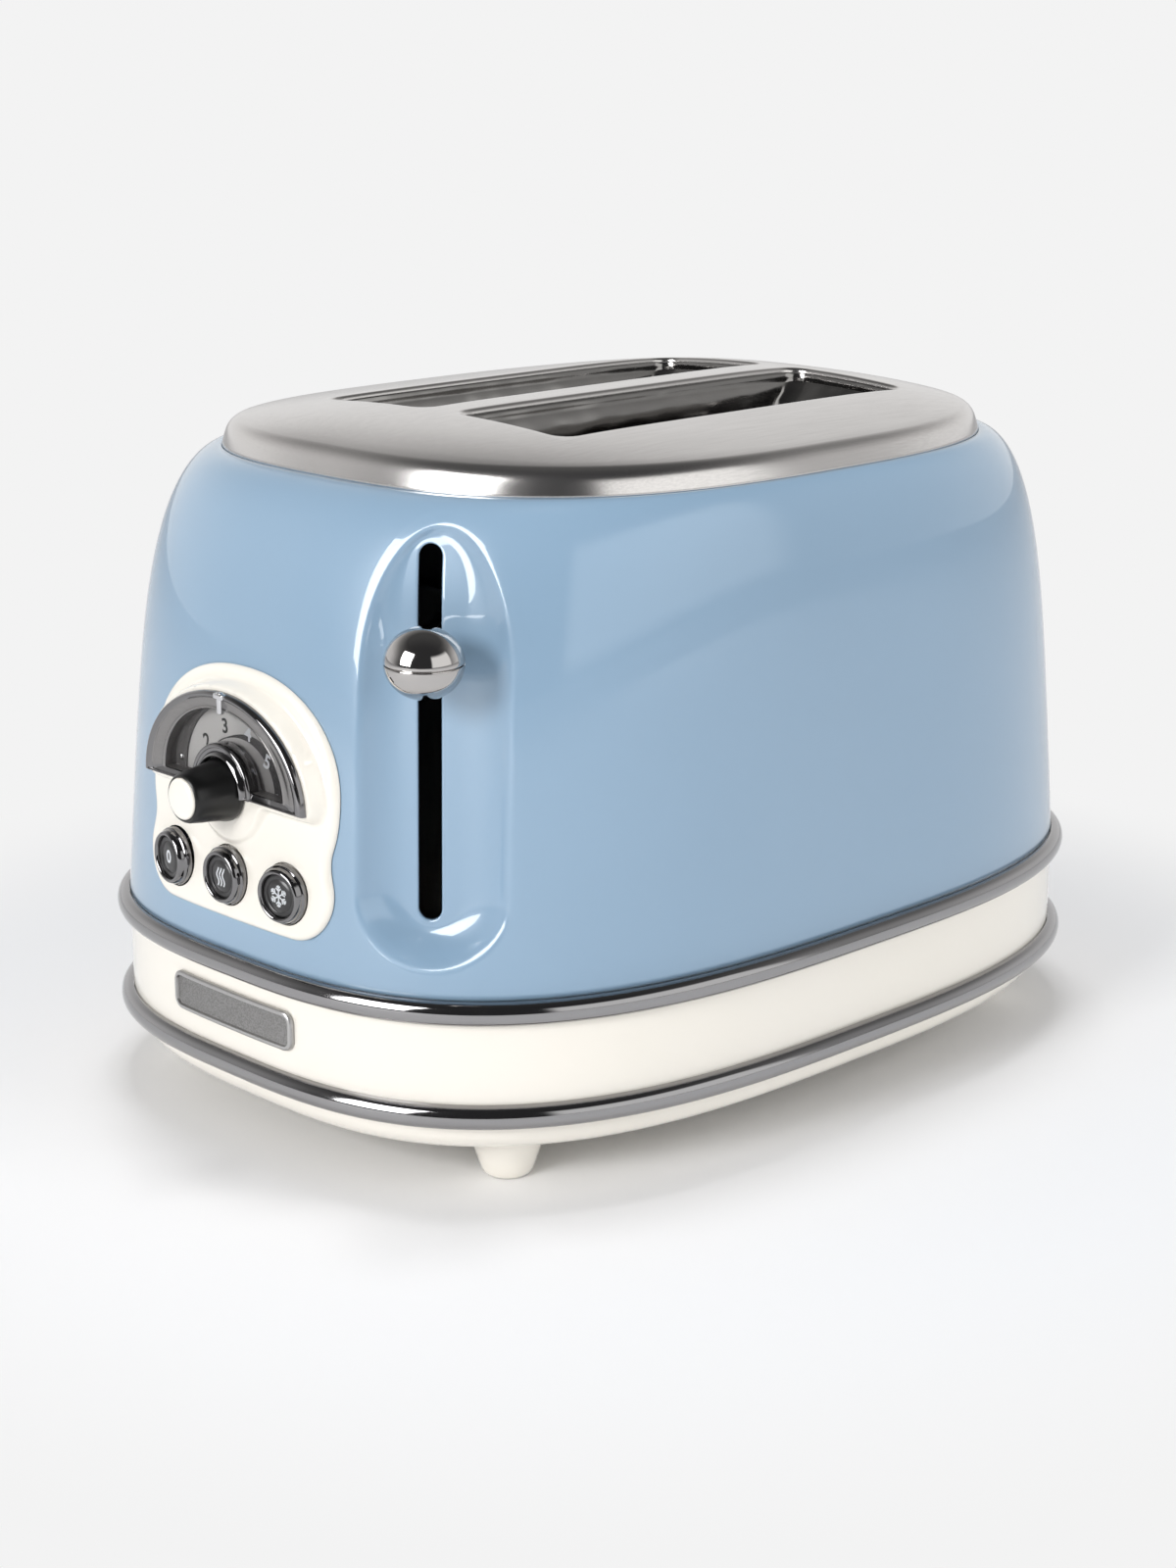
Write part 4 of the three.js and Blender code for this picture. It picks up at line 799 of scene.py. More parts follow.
def mouth_point(x, y, middle, grow):
    """The point of a slot's outline, grown by 'grow', that is nearest to x, y."""
    long, wide = SLOT_LONG - SLOT_CORNER, SLOT_WIDE - SLOT_CORNER
    spot = Vector((x - SLOT_SHIFT, y - middle))
    near = Vector((min(max(spot.x, -long), long), min(max(spot.y, -wide), wide)))
    away = (spot - near).normalized()
    return near + away * (SLOT_CORNER + grow) + Vector((SLOT_SHIFT, middle))


for middle in (-SLOT_SPACING / 2, SLOT_SPACING / 2):
    edges = [e for e in top.edges if e.is_boundary and all(
        abs(v.co.x - SLOT_SHIFT) < reach_x + 0.1 and abs(v.co.y - middle) < reach_y + 0.1
        for v in e.verts)]
    rim = Rim(edges, {v: (v.co.x, v.co.y) for e in edges for v in e.verts})
    for grow, drop in LIP_ROLL:
        def on_lip(x, y):
            edge = mouth_point(x, y, middle, grow)
            return on_dome(edge.x, edge.y, drop)
        rim = rim.grow(top, on_lip)

RIM_ROLL = ((5.0, 0.0), (4.1, 0.1), (3.25, 0.4), (2.5, 0.9), (1.85, 1.65), (1.35, 2.55),
            (0.95, 3.65), (0.6, 4.85), (0.3, 6.0), (0.1, 6.9), (0.3, 7.3))  # inset, drop


def outline_spot(angle, inset):
    """Where a line from the middle at this angle crosses the plate's outline."""
    length, width = PLATE_LENGTH - inset, PLATE_WIDTH - inset
    c, s = math.cos(angle), math.sin(angle)
    reach = (abs(c / length) ** PLATE_POWER + abs(s / width) ** PLATE_POWER) ** (-1 / PLATE_POWER)
    return reach * c, reach * s


rim = Rim(rim_edges, {v: (v.co.x, v.co.y) for e in rim_edges for v in e.verts})
for share in (0.16, 0.34, 0.52, 0.7, 0.86):
    def toward_rim(x, y):
        edge = outline_spot(math.atan2(y, x), RIM_ROLL[0][0])
        return on_dome(x + (edge[0] - x) * share, y + (edge[1] - y) * share)
    rim = rim.grow(top, toward_rim)
for inset, drop in RIM_ROLL:
    rim = rim.grow(top, lambda x, y: on_dome(*outline_spot(math.atan2(y, x), inset), drop))
thicken(make_piece("top_cover", top, "housing", "steel", ["top_plate"], 60, (0, 0, 1)), 0.9)

# %% [markdown]
# ## Slot collars
# Inside each mouth hangs a polished collar that guides the bread. Seen from above it is a
# funnel: its long sides fall almost straight, and its ends slope in. A rolled bead finishes
# its upper edge, just below the lip of the steel top. It is grown from one rounded
# rectangle, whose two half sizes change from ring to ring.

# %% Collars
def rectangle_keys(edge_steps, corner_steps):
    """Keys round a rounded rectangle: the corner, how far round it, how far along the edge."""
    keys = []
    for corner in range(4):
        steps = edge_steps[corner % 2]
        keys += [(corner, i / corner_steps, 0.0) for i in range(corner_steps + 1)]
        keys += [(corner, 1.0, i / steps) for i in range(1, steps)]
    return keys


def rectangle_point(corner, turn, along, half_x, half_y, radius):
    signs = ((1, 1), (-1, 1), (-1, -1), (1, -1))

    def arc(index, share):
        sx, sy = signs[index % 4]
        angle = (index % 4 + share) * math.pi / 2
        return Vector((sx * (half_x - radius) + radius * math.cos(angle),
                       sy * (half_y - radius) + radius * math.sin(angle)))
    return arc(corner, turn).lerp(arc(corner + 1, 0), along)


COLLAR = (  # inset along, inset across, height over the plate's surface
    (0.35, 0.35, -5.0), (0.35, 0.35, -2.3), (0.5, 0.5, -1.75), (0.8, 0.8, -1.45),
    (1.2, 1.2, -1.4), (1.55, 1.55, -1.65), (1.75, 1.75, -2.2), (1.8, 1.85, -3.1),
    (1.8, 1.9, -4.0), (2.3, 2.1, -4.6), (3.4, 2.4, -5.2), (5.2, 2.9, -7.2),
    (8.4, 3.3, -9.6), (11.0, 3.4, -12.5), (11.6, 3.4, -18.0))
COLLAR_LOWEST = 186.3
for name, middle in (("front", -SLOT_SPACING / 2), ("rear", SLOT_SPACING / 2)):
    def on_collar(corner, turn, along, inset_x, inset_y, drop):
        spot = rectangle_point(corner, turn, along, SLOT_LONG - inset_x, SLOT_WIDE - inset_y,
                               SLOT_CORNER - 0.3) + Vector((SLOT_SHIFT, middle))
        return Vector((*spot, max(on_dome(*spot).z + drop, COLLAR_LOWEST)))

    form = bmesh.new()
    loft(form, rectangle_keys((40, 14), 8), on_collar, COLLAR)
    thicken(make_piece(f"slot_collar_{name}", form, "housing", "collar",
                       [f"slot_liner_{name}"], 35), 0.5)

# %% [markdown]
# ## Trim rings
# Two half-round plated rings run round the body above and below the cream band. A half
# circle is carried round the body's outline and closed on itself behind, where it touches
# the body.

# %% Trim rings
def around(angle, out, z):
    """A point 'out' millimetres off the foot of the body, square to its outline."""
    x, y = plan_point(HALF_LENGTH, HALF_WIDTH, BODY_POWER, angle)
    slope = Vector([math.copysign(abs(v / half) ** (BODY_POWER - 1) / half, v)
                    for v, half in ((x, HALF_LENGTH), (y, HALF_WIDTH))])
    return Vector((x, y, z)) + slope.normalized().to_3d() * out


RING_PROUD, RING_TALL, RING_ROOT, RING_BACK = 3.85, 7.0, 0.6, 0.25
for name, bottom in (("upper_trim", 53.5), ("lower_trim", 23.1)):
    section = [(RING_ROOT + (RING_PROUD - RING_ROOT) * math.cos(t) ** 0.9,
                bottom + RING_TALL / 2 * (1 + math.sin(t)))
               for t in np.linspace(-math.pi / 2 + 1e-4, math.pi / 2 - 1e-4, 15)]
    form = bmesh.new()
    rims = loft(form, plan_keys, around,
                [(RING_BACK, bottom), *section, (RING_BACK, bottom + RING_TALL)])
    bmesh.ops.bridge_loops(form, edges=rims[0].edges + rims[-1].edges)
    make_piece(name, form, "housing", "trim", [f"{name}_ring"], 50)

# %% [markdown]
# ## Cream band, tray and feet
# The band is a plain column of the body's outline. Below the lower ring the tray rolls under
# in one smooth bend to a flat bottom with vents. The feet are turned, and flare out where
# they meet the tray.

# %% Band
BAND_BOTTOM, BAND_TOP = 23.1, 60.2
form = bmesh.new()
loft(form, plan_keys, around, (
    (-0.6, BAND_BOTTOM), (0, BAND_BOTTOM + 0.6), (0, BAND_BOTTOM + 12), (0, BAND_TOP - 12),
    (0, BAND_TOP - 0.6), (-0.6, BAND_TOP)))
band = make_piece("cream_band", form, "housing", "cream", ["base_band"], 40, (1, 0, 0))
thicken(band, 2.1)
drawer_low, drawer_high = (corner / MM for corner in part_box("crumb_tray"))
handle_low, handle_high = (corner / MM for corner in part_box("crumb_tray_handle"))
CUT_DEEP, CUT_SIDE, CUT_BELOW, CUT_ABOVE = 20, 2.2, 0.3, 1.0
cut_low, cut_high = drawer_low.z - CUT_BELOW, drawer_high.z + CUT_ABOVE
opening = bmesh.new()
bmesh.ops.create_cube(
    opening, size=1, matrix=Matrix.Translation((HALF_LENGTH, 0, (cut_low + cut_high) / 2))
    @ Matrix.Diagonal((CUT_DEEP, 2 * (drawer_high.y + CUT_SIDE), cut_high - cut_low, 1)))
carve(band, [opening])

# %% Tray
TRAY_BOTTOM, TRAY_TOP, TRAY_INSET, TRAY_UNDER = 12.8, 22.8, 1.7, 14.0
ROLL_POWER, ROLL_STEPS, FLAT_SHARE = 2.4, 14, 0.07
VENT_LONG, VENT_WIDE, VENT_STEP, VENT_COUNT = 36.0, 4.0, 14.0, 6
GLAND_X, GLAND_Y, GLAND_HOLE = 60.0, 88.0, 4.9
CUT_LOW, CUT_HIGH = 5.0, 20.0


def tray_spot(angle, rise):
    under = 1 - (1 - (1 - rise) ** ROLL_POWER) ** (1 / ROLL_POWER)
    inset = TRAY_INSET + TRAY_UNDER * under
    x, y = plan_point(HALF_LENGTH - inset, HALF_WIDTH - inset, BODY_POWER, angle)
    return Vector((x, y, TRAY_BOTTOM + (TRAY_TOP - TRAY_BOTTOM) * rise))


form = bmesh.new()
rises = [(1 - math.cos(t),) for t in np.linspace(0, math.pi / 2, ROLL_STEPS)]
rims = loft(form, plan_keys, tray_spot, rises)
below = Vector((0, 0, TRAY_BOTTOM))
cap(form, rims[0].grow(form, lambda a: tray_spot(a, 0.0).lerp(below, FLAT_SHARE)))
tray = make_piece("cream_tray", form, "housing", "cream", ["base_tray"], 35, (0, 0, -1))
thicken(tray, 2.0)
cutters = []
for i in range(VENT_COUNT):
    def on_vent(corner, turn, along, z):
        spot = rectangle_point(corner, turn, along, VENT_WIDE / 2, VENT_LONG / 2,
                               VENT_WIDE / 2 - 0.1)
        return Vector(((i - (VENT_COUNT - 1) / 2) * VENT_STEP + spot.x, spot.y, z))

    vent = bmesh.new()
    for rim in loft(vent, rectangle_keys((2, 2), 6), on_vent, ((CUT_LOW,), (CUT_HIGH,))):
        cap(vent, rim)
    cutters.append(vent)
hole = bmesh.new()
turn_profile(hole, ((0, CUT_LOW), (GLAND_HOLE, CUT_LOW), (GLAND_HOLE, CUT_HIGH), (0, CUT_HIGH)),
             Matrix.Translation((GLAND_X, GLAND_Y, 0)), 32)
carve(tray, [*cutters, hole])

# %% Feet
FOOT_SHAPE = ((0, 0), (5.4, 0), (6.5, 0.35), (7.3, 1.2), (7.9, 2.6), (8.8, 5.4), (9.9, 8.6),
              (11.2, 11.4), (12.3, 13.2), (13.3, 14.5), (0, 14.5))
for name in ("foot_front_left", "foot_front_right", "foot_rear_left", "foot_rear_right"):
    low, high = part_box(name)
    spot = PLACE.inverted() @ ((low + high) / 2)
    turned(f"cream_{name}", FOOT_SHAPE, Matrix.Translation((spot.x, spot.y, 0)), 48,
           "housing", "cream", [name], 50)

# %% [markdown]
# ## Plates on the band
# A small bare plate sits on the control end, with a raised border and a grained field, and a
# cream grip for the crumb tray sits on the far end. Both are rounded rectangles that follow
# the band's curve, so one function grows them from rings of inset and height.

# %% Plate and grip
def band_pad(end, half_wide, middle, half_tall, radius, rings, keys):
    """A pad on the -X (end -1) or +X (end 1) face of the band, closed in its middle."""
    def on_pad(corner, turn, along, inset, out):
        spot = rectangle_point(corner, turn, along, half_wide - inset, half_tall - inset,
                               max(radius - inset, 0.3))
        x = HALF_LENGTH * (1 - abs(spot.x / HALF_WIDTH) ** BODY_POWER) ** (1 / BODY_POWER)
        return Vector((end * (x + out), -end * spot.x, middle + spot.y))

    pad = bmesh.new()
    rims = loft(pad, keys, on_pad, rings)
    bmesh.ops.triangulate(pad, faces=cap(pad, rims[-1]))
    cap(pad, rims[0])
    return pad


BADGE_HALF, BADGE_Z, BADGE_TALL, BADGE_CORNER, BADGE_BORDER = 27.5, 42.8, 5.9, 3.4, 1.6
form = band_pad(-1, BADGE_HALF, BADGE_Z, BADGE_TALL, BADGE_CORNER,
                ((0, 0.3), (0, 1.0), (0.12, 1.35), (0.4, 1.6), (0.85, 1.69), (1.25, 1.6),
                 (1.45, 1.2), (1.55, 0.85), (1.8, 0.8), (4.0, 0.8), (5.4, 0.8)),
                rectangle_keys((36, 10), 8))
for face in form.faces:
    x, y, z = face.calc_center_median()
    face.material_index = int(x < -HALF_LENGTH * 0.9 and abs(y) < BADGE_HALF - BADGE_BORDER
                              and abs(z - BADGE_Z) < BADGE_TALL - BADGE_BORDER)
badge = make_piece("bare_plate", form, "housing", "plate", ["badge_plate"], 40)
grained = Finish("grained_field", linear(176, 175, 174), 0.45, 1.0)
grain = grained.noise(0.0005, 2.0, 0.6)
grained.set("Base Color", grained.mix(grained.band(grain, 0.35, 0.65), linear(128, 127, 126),
                                      linear(150, 149, 148)))
grained.set("Roughness", 0.42 + 0.1 * grain)
grained.bump(grain, 0.00012, 0.5)
badge.data.materials.append(grained.material)

GRIP_CORNER, GRIP_PLAY = 2.2, 0.05
form = band_pad(1, handle_high.y - GRIP_PLAY, (handle_low.z + handle_high.z) / 2,
                (handle_high.z - handle_low.z) / 2, GRIP_CORNER,
                ((0, 0.35), (0, 1.6), (0.2, 2.1), (0.7, 2.4), (1.3, 2.45), (1.9, 2.3),
                 (2.4, 1.9), (3.2, 1.5), (4.4, 1.35), (5.2, 1.3)), rectangle_keys((48, 10), 8))
make_piece("crumb_grip", form, "crumb_drawer", "cream", ["crumb_tray_handle"], 40)

# %% [markdown]
# ## Control panel
# The panel is one soft moulding: a broad crown over two round lobes, a thick rolled edge,
# and a raised boss that carries the dial. Its outline is where a smooth union of a crown
# and a rounded box reaches zero, which gives the soft waist for free. Rings of that outline
# are pulled inwards, and every vertex asks one function how far out the moulding stands.

# %% Panel outline
WAIST_BLEND, LOBE_HALF, LOBE_TOP, LOBE_RADIUS = 5.0, 41.8, 98.6, 14.0
PANEL_AIM, DIAL_Z = 100.0, 109.2


def soft_union(first, second, blend):
    share = min(max(0.5 + 0.5 * (second - first) / blend, 0), 1)
    return second + (first - second) * share - blend * share * (1 - share)


def rounded_box(y, z, half_wide, low, high, radius):
    away_y = abs(y) - (half_wide - radius)
    away_z = abs(z - (low + high) / 2) - ((high - low) / 2 - radius)
    return math.hypot(max(away_y, 0), max(away_z, 0)) + min(max(away_y, away_z), 0) - radius


def crown_distance(y, z, half_wide, rise, middle, power=2.0):
    level = ((abs(y) / half_wide) ** power + (abs(z - middle) / rise) ** power) ** (1 / power)
    return (level - 1) / max(level, 0.2) * math.hypot(y, z - middle)


def panel_distance(y, z):
    crown = crown_distance(y, z, PANEL_HALF, PANEL_RISE, PANEL_CENTRE, PANEL_POWER)
    lobes = rounded_box(y, z, LOBE_HALF, PANEL_BOTTOM, LOBE_TOP, LOBE_RADIUS)
    return soft_union(crown, lobes, WAIST_BLEND)


def outline_at(angle, level):
    """Where a line from the middle of the panel crosses the given distance to its outline."""
    low, high = 0.0, 90.0
    for _ in range(34):
        middle = (low + high) / 2
        spot = middle * math.cos(angle), PANEL_AIM + middle * math.sin(angle)
        low, high = (low, middle) if panel_distance(*spot) > level else (middle, high)
    return low * math.cos(angle), PANEL_AIM + low * math.sin(angle)


# %% Panel relief
BEZEL_HALF, BEZEL_RISE, BEZEL_FLOOR = 36.4, 29.2, 108.3
BEZEL_FACE, BEZEL_THICK = 153.17, 2.3
BOSS_FACE = BEZEL_FACE - BEZEL_THICK
BOSS_MARGIN, COLLAR_RADIUS, BOSS_SOFT = 2.3, 15.5, 1.0
PANEL_PROUD, PANEL_LOW, EDGE_ROLL, BUTTON_PROUD = 2.05, 0.3, 2.7, 2.8


def boss_distance(y, z):
    """Distance to the boss: the half arch, its skirt and the round collar under the hub."""
    arch = crown_distance(y, z, BEZEL_HALF + BOSS_MARGIN, BEZEL_RISE + BOSS_MARGIN,
                          BEZEL_FLOOR - 0.5)
    arch = -soft_union(-arch, z - BEZEL_FLOOR + BOSS_MARGIN, 5.0)
    return soft_union(arch, math.hypot(y, z - DIAL_Z) - COLLAR_RADIUS, 3.0)


def smooth_step(value, low, high):
    t = min(max((value - low) / (high - low), 0), 1)
    return t * t * (3 - 2 * t)


def panel_spot(y, z, inset):
    roll = min(inset / EDGE_ROLL, 1)
    proud = PANEL_LOW + (PANEL_PROUD - PANEL_LOW) * math.sqrt(max(0, 1 - (1 - roll) ** 2.2))
    out = end_surface(y, z, proud)
    boss = smooth_step(-boss_distance(y, z), -BOSS_SOFT, BOSS_SOFT)
    return Vector((-(out + max(BOSS_FACE - out, 0) * boss), y, z))


# %% Panel
PANEL_STEPS, PANEL_RINGS, PANEL_BACK = 320, 84, 0.25
EDGE_INSETS = (0.0, 0.03, 0.12, 0.3, 0.55, 0.9, 1.3, 1.8, 2.3, 2.8)
DIAL_HOLE, DIAL_HOLE_LOW = 3.2, 1.2
panel_keys = [(math.tau * i / PANEL_STEPS,) for i in range(PANEL_STEPS)]
spots = {(inset, *key): outline_at(*key, -inset) for inset in EDGE_INSETS for key in panel_keys}


def panel_back(a):
    y, z = spots[(0.0, a)]
    return Vector((-end_surface(y, z, PANEL_BACK), y, z))


def inward(a, share):
    y, z = spots[(EDGE_INSETS[-1], a)]
    return panel_spot(y * (1 - share), PANEL_AIM + (z - PANEL_AIM) * (1 - share), EDGE_ROLL)


form = bmesh.new()
rim = first_rim(form, panel_keys, panel_back)
for inset in EDGE_INSETS:
    rim = rim.grow(form, lambda a: panel_spot(*spots[(inset, a)], inset))
for ring in range(1, PANEL_RINGS):
    rim = rim.grow(form, lambda a: inward(a, ring / PANEL_RINGS))
cap(form, rim)


def under_dial(x, y, z):
    half, rise = BEZEL_HALF - DIAL_HOLE, BEZEL_RISE - DIAL_HOLE
    return crown_distance(y, z, half, rise, BEZEL_FLOOR) < 0 and z > BEZEL_FLOOR + DIAL_HOLE_LOW


covered = [f for f in form.faces if under_dial(*f.calc_center_median())]
bmesh.ops.delete(form, geom=covered, context="FACES")
panel = make_piece("control_moulding", form, "housing", "cream", ["control_panel"], 60, (-1, 0, 0))

# %% [markdown]
# ## Button holes
# Three round holes take the buttons. They are drilled with closed cutters at the angle of
# each button, after the relief is finished, so that the edges of the holes stay clean.

# %% Holes
BUTTON_Z, BUTTON_STEP, BUTTON_TURN = 83.6, 25.5, 8.0
HOLE_RADIUS, HOLE_BOTTOM, HOLE_TOP = 8.95, -4.4, 6
buttons, cutters = {}, []
for name, step in (("defrost", -1), ("reheat", 0), ("cancel", 1)):
    y = step * BUTTON_STEP
    x = -end_surface(y, BUTTON_Z, BUTTON_PROUD)
    buttons[name] = facing(-step * BUTTON_TURN, x, y, BUTTON_Z)
    cutters.append(bmesh.new())
    turn_profile(cutters[-1], ((0, HOLE_BOTTOM), (HOLE_RADIUS, HOLE_BOTTOM),
                               (HOLE_RADIUS, HOLE_TOP), (0, HOLE_TOP)), buttons[name], 72)
carve(panel, cutters)

# %% [markdown]
# ## Bezel
# The bezel is a half arch closed by a low bar. From outside in its section is a polished
# roll, a brushed face that falls slightly inwards, a thin bright edge and a dark wall down
# to the dial. Both outlines share their keys, so a ring is a share of the way from one to
# the other plus a height.

# %% Bezel
WINDOW_HALF, WINDOW_RISE, WINDOW_FLOOR = 27.2, 21.6, 110.7
BEZEL_SECTION = (  # share of the way in, height off the face
    (0.0, -2.3), (0.0, -1.5), (0.012, -1.0), (0.045, -0.52), (0.1, -0.15), (0.17, 0.0),
    (0.245, -0.1), (0.305, -0.36), (0.345, -0.66), (0.37, -0.78), (0.4, -0.74), (0.62, -0.92),
    (0.84, -1.1), (0.87, -1.02), (0.905, -0.9), (0.945, -0.93), (0.98, -1.1), (1.0, -1.4),
    (1.0, -3.2), (1.0, -5.2))
FACE_LOW, FACE_HIGH, WALL_TOP = -1.12, -0.72, -1.5
arch_keys = [("arch", t) for t in np.linspace(0, math.pi, 97)]
arch_keys += [("floor", t) for t in np.linspace(-1, 1, 41)[1:-1]]


def arch_point(side, value, half, rise, floor_z):
    if side == "arch":
        return Vector((half * math.cos(value), floor_z + rise * math.sin(value)))
    return Vector((value * half, floor_z))


def on_bezel(side, value, share, height):
    outer = arch_point(side, value, BEZEL_HALF, BEZEL_RISE, BEZEL_FLOOR)
    inner = arch_point(side, value, WINDOW_HALF, WINDOW_RISE, WINDOW_FLOOR)
    return Vector((-(BEZEL_FACE + height), *outer.lerp(inner, share)))


def bezel_part(x, y, z):
    """0 for the polished roll, 1 for the brushed face, 2 for the wall round the window."""
    height = -x - BEZEL_FACE
    if FACE_LOW < height < FACE_HIGH and z > WINDOW_FLOOR:
        return 1
    near = crown_distance(y, z, WINDOW_HALF + 1, WINDOW_RISE + 1, WINDOW_FLOOR - 1) < 0
    return 2 if height < WALL_TOP and near else 0


form = bmesh.new()
loft(form, arch_keys, on_bezel, BEZEL_SECTION)
for face in form.faces:
    face.material_index = bezel_part(*face.calc_center_median())
bezel = make_piece("dial_arch", form, "housing", "smoky_chrome", ["dial_bezel"], 40, (-1, 0, 0))
for name in ("bezel_face", "dark"):
    bezel.data.materials.append(finishes[name])

# %% [markdown]
# ## Hub, pointer and dial surround
# A ridged ring stands round the knob, cut off level with the bar below. A small post above
# it marks the chosen number. Behind the pane a dark surround frames the printed disc.

# %% Hub and pointer
HUB_SECTION = ((13.4, 148.6), (13.4, 152.3), (13.15, 152.9), (12.7, 153.2), (12.3, 153.1),
               (12.05, 152.7), (11.2, 152.6), (10.9, 153.0), (10.5, 153.65), (10.0, 153.85),
               (9.65, 153.5), (9.55, 152.8), (9.55, 148.6))
dial_frame = facing(0, 0, 0, DIAL_Z)
form = bmesh.new()
turn_profile(form, HUB_SECTION, dial_frame, 96)
bmesh.ops.bisect_plane(form, geom=form.verts[:] + form.edges[:] + form.faces[:],
                       plane_co=(0, 0, BEZEL_FLOOR + 0.1), plane_no=(0, 0, -1), clear_outer=True)
make_piece("dial_hub", form, "housing", "smoky_chrome", (), 50)

POST_SIDE = -1.2
post = bar((1.7, 2.0, 6.4), (-152.6, POST_SIDE, 134.6), 0.5)
crosspiece = bar((1.9, 4.4, 1.7), (-152.7, POST_SIDE, 136.6), 0.45)
loose = bpy.data.meshes.new("loose")
crosspiece.to_mesh(loose)
crosspiece.free()
post.from_mesh(loose)
make_piece("dial_pointer", post, "housing", "chrome", (), 40)

# %% Surround and pane
DISC_RADIUS, DISC_FACE, DISC_BORE = 24.4, 146.8, 3.4
SURROUND = ((0, 151.0), (0, 148.4), (0.15, 147.8), (0.5, 147.7), (0.9, 147.6), (1.0, 147.4),
            (1.0, 147.05))  # share of the way in, distance from the middle
RIVET = ((0, 147.4), (0.95, 147.4), (0.95, 148.1), (0.8, 148.35), (0.4, 148.5), (0, 148.52))
PANE_MARGIN, PANE_BACK, PANE_FRONT = 0.9, 149.5, 150.5


def window_point(key, margin):
    return arch_point(*key, WINDOW_HALF + margin, WINDOW_RISE + margin, WINDOW_FLOOR - margin)


def on_pane(side, value, out):
    return Vector((-out, *window_point((side, value), PANE_MARGIN)))


def on_surround(side, value, share, out):
    inner = arch_point(side, value, DISC_RADIUS - 1.2, DISC_RADIUS - 2.2, WINDOW_FLOOR - 0.3)
    return Vector((-out, *window_point((side, value), 0.3).lerp(inner, share)))


form = bmesh.new()
loft(form, arch_keys, on_surround, SURROUND)
make_piece("dial_surround", form, "housing", "dark", (), 50)
turned("surround_rivet", RIVET, facing(0, 0, 24.6, 113.4), 32, "housing", "chrome")
form = bmesh.new()
for rim in loft(form, arch_keys, on_pane, ((PANE_BACK,), (PANE_FRONT,))):
    cap(form, rim)
make_piece("smoked_window", form, "housing", "smoked", ["dial_window"], 40)

# %% [markdown]
# ## Number disc
# The disc turns with the knob behind the pane. Its print is a light ring with a dark wedge
# that grows with the setting, drawn in the material from the angle and the distance to the
# axis, while the numbers are real text, made mesh and laid on the disc.

# %% Disc print
printed = Finish("printed_disc", linear(210, 208, 206), 0.45)
spot = printed.place(shift=(0, 0, -DIAL_Z * MM))
y, z = (printed.node("ShaderNodeSeparateXYZ", {}, {0: spot}, out=name) for name in "YZ")
radius = (y * y + z * z) ** 0.5
angle = printed.node("ShaderNodeMath", {"operation": "ARCTAN2"}, {0: y * -1.0, 1: z})
grown = printed.band(angle, -0.35, 1.5)
EDGE = 0.0001
inside = 1 - printed.band(radius - (0.0142 + 0.0085 * grown), -EDGE, EDGE)
wedge = inside * printed.band(radius - (0.0138 + 0.0035 * grown), -EDGE, EDGE)
shade = printed.mix(printed.band(angle, -0.3, 0.9), linear(214, 212, 210), linear(150, 148, 147))
shade = printed.mix(wedge, shade, linear(50, 49, 49))
shade = printed.mix(printed.band(radius, 0.0234, 0.0236), shade, linear(60, 59, 59))
printed.set("Base Color", shade)
printed.set("Roughness", 0.4 + 0.1 * printed.noise(0.004))
finishes["printed_disc"] = printed.material
turned("printed_number_disc", ((DISC_BORE, DISC_FACE - 1), (DISC_RADIUS, DISC_FACE - 1),
                               (DISC_RADIUS, DISC_FACE), (DISC_BORE, DISC_FACE),
                               (DISC_BORE, DISC_FACE - 1)),
       dial_frame, 96, "browning_dial", "printed_disc", ["number_disc"])

# %% Numbers
NUMBER_SIZE, NUMBER_RADIUS, NUMBER_STEP, FIRST_NUMBER = 6.0, 17.2, 36.0, -88.0
PRINT_THICK, NUMBER_LIFT, NUMBER_LEAN, LAST_DARK = 0.06, 0.02, 0.35, 3


def lettering(name, text, size, place, body, finish):
    """Generic characters as a thin raised print: a text made mesh, moved into place."""
    curve = bpy.data.curves.new(name, "FONT")
    curve.body, curve.size, curve.align_x, curve.align_y = text, size, "CENTER", "CENTER"
    curve.extrude, curve.resolution_u, curve.offset = PRINT_THICK, 4, 0.02 * size
    written = bpy.data.objects.new(name, curve)
    bpy.context.scene.collection.objects.link(written)
    bpy.context.view_layer.update()
    solid = written.evaluated_get(bpy.context.evaluated_depsgraph_get())
    mesh = bpy.data.meshes.new_from_object(solid)
    bpy.data.objects.remove(written)
    form = bmesh.new()
    form.from_mesh(mesh)
    bpy.data.meshes.remove(mesh)
    bmesh.ops.transform(form, matrix=place, verts=form.verts)
    make_piece(name, form, body, finish, (), 30)


for number in range(1, 7):
    turn = math.radians(FIRST_NUMBER + NUMBER_STEP * (number - 1))
    place = facing(0, -DISC_FACE - NUMBER_LIFT, -NUMBER_RADIUS * math.sin(turn),
                   DIAL_Z + NUMBER_RADIUS * math.cos(turn))
    lettering(f"dial_number_{number}", str(number), NUMBER_SIZE,
              place @ Matrix.Rotation(-turn * NUMBER_LEAN, 4, "Z"), "browning_dial",
              "print_black" if number <= LAST_DARK else "print_white")

# %% [markdown]
# ## Knob and cap
# The knob is a tapered handle with soft shoulders and a slight flare at the dial. A domed
# cream cap is let into its end.

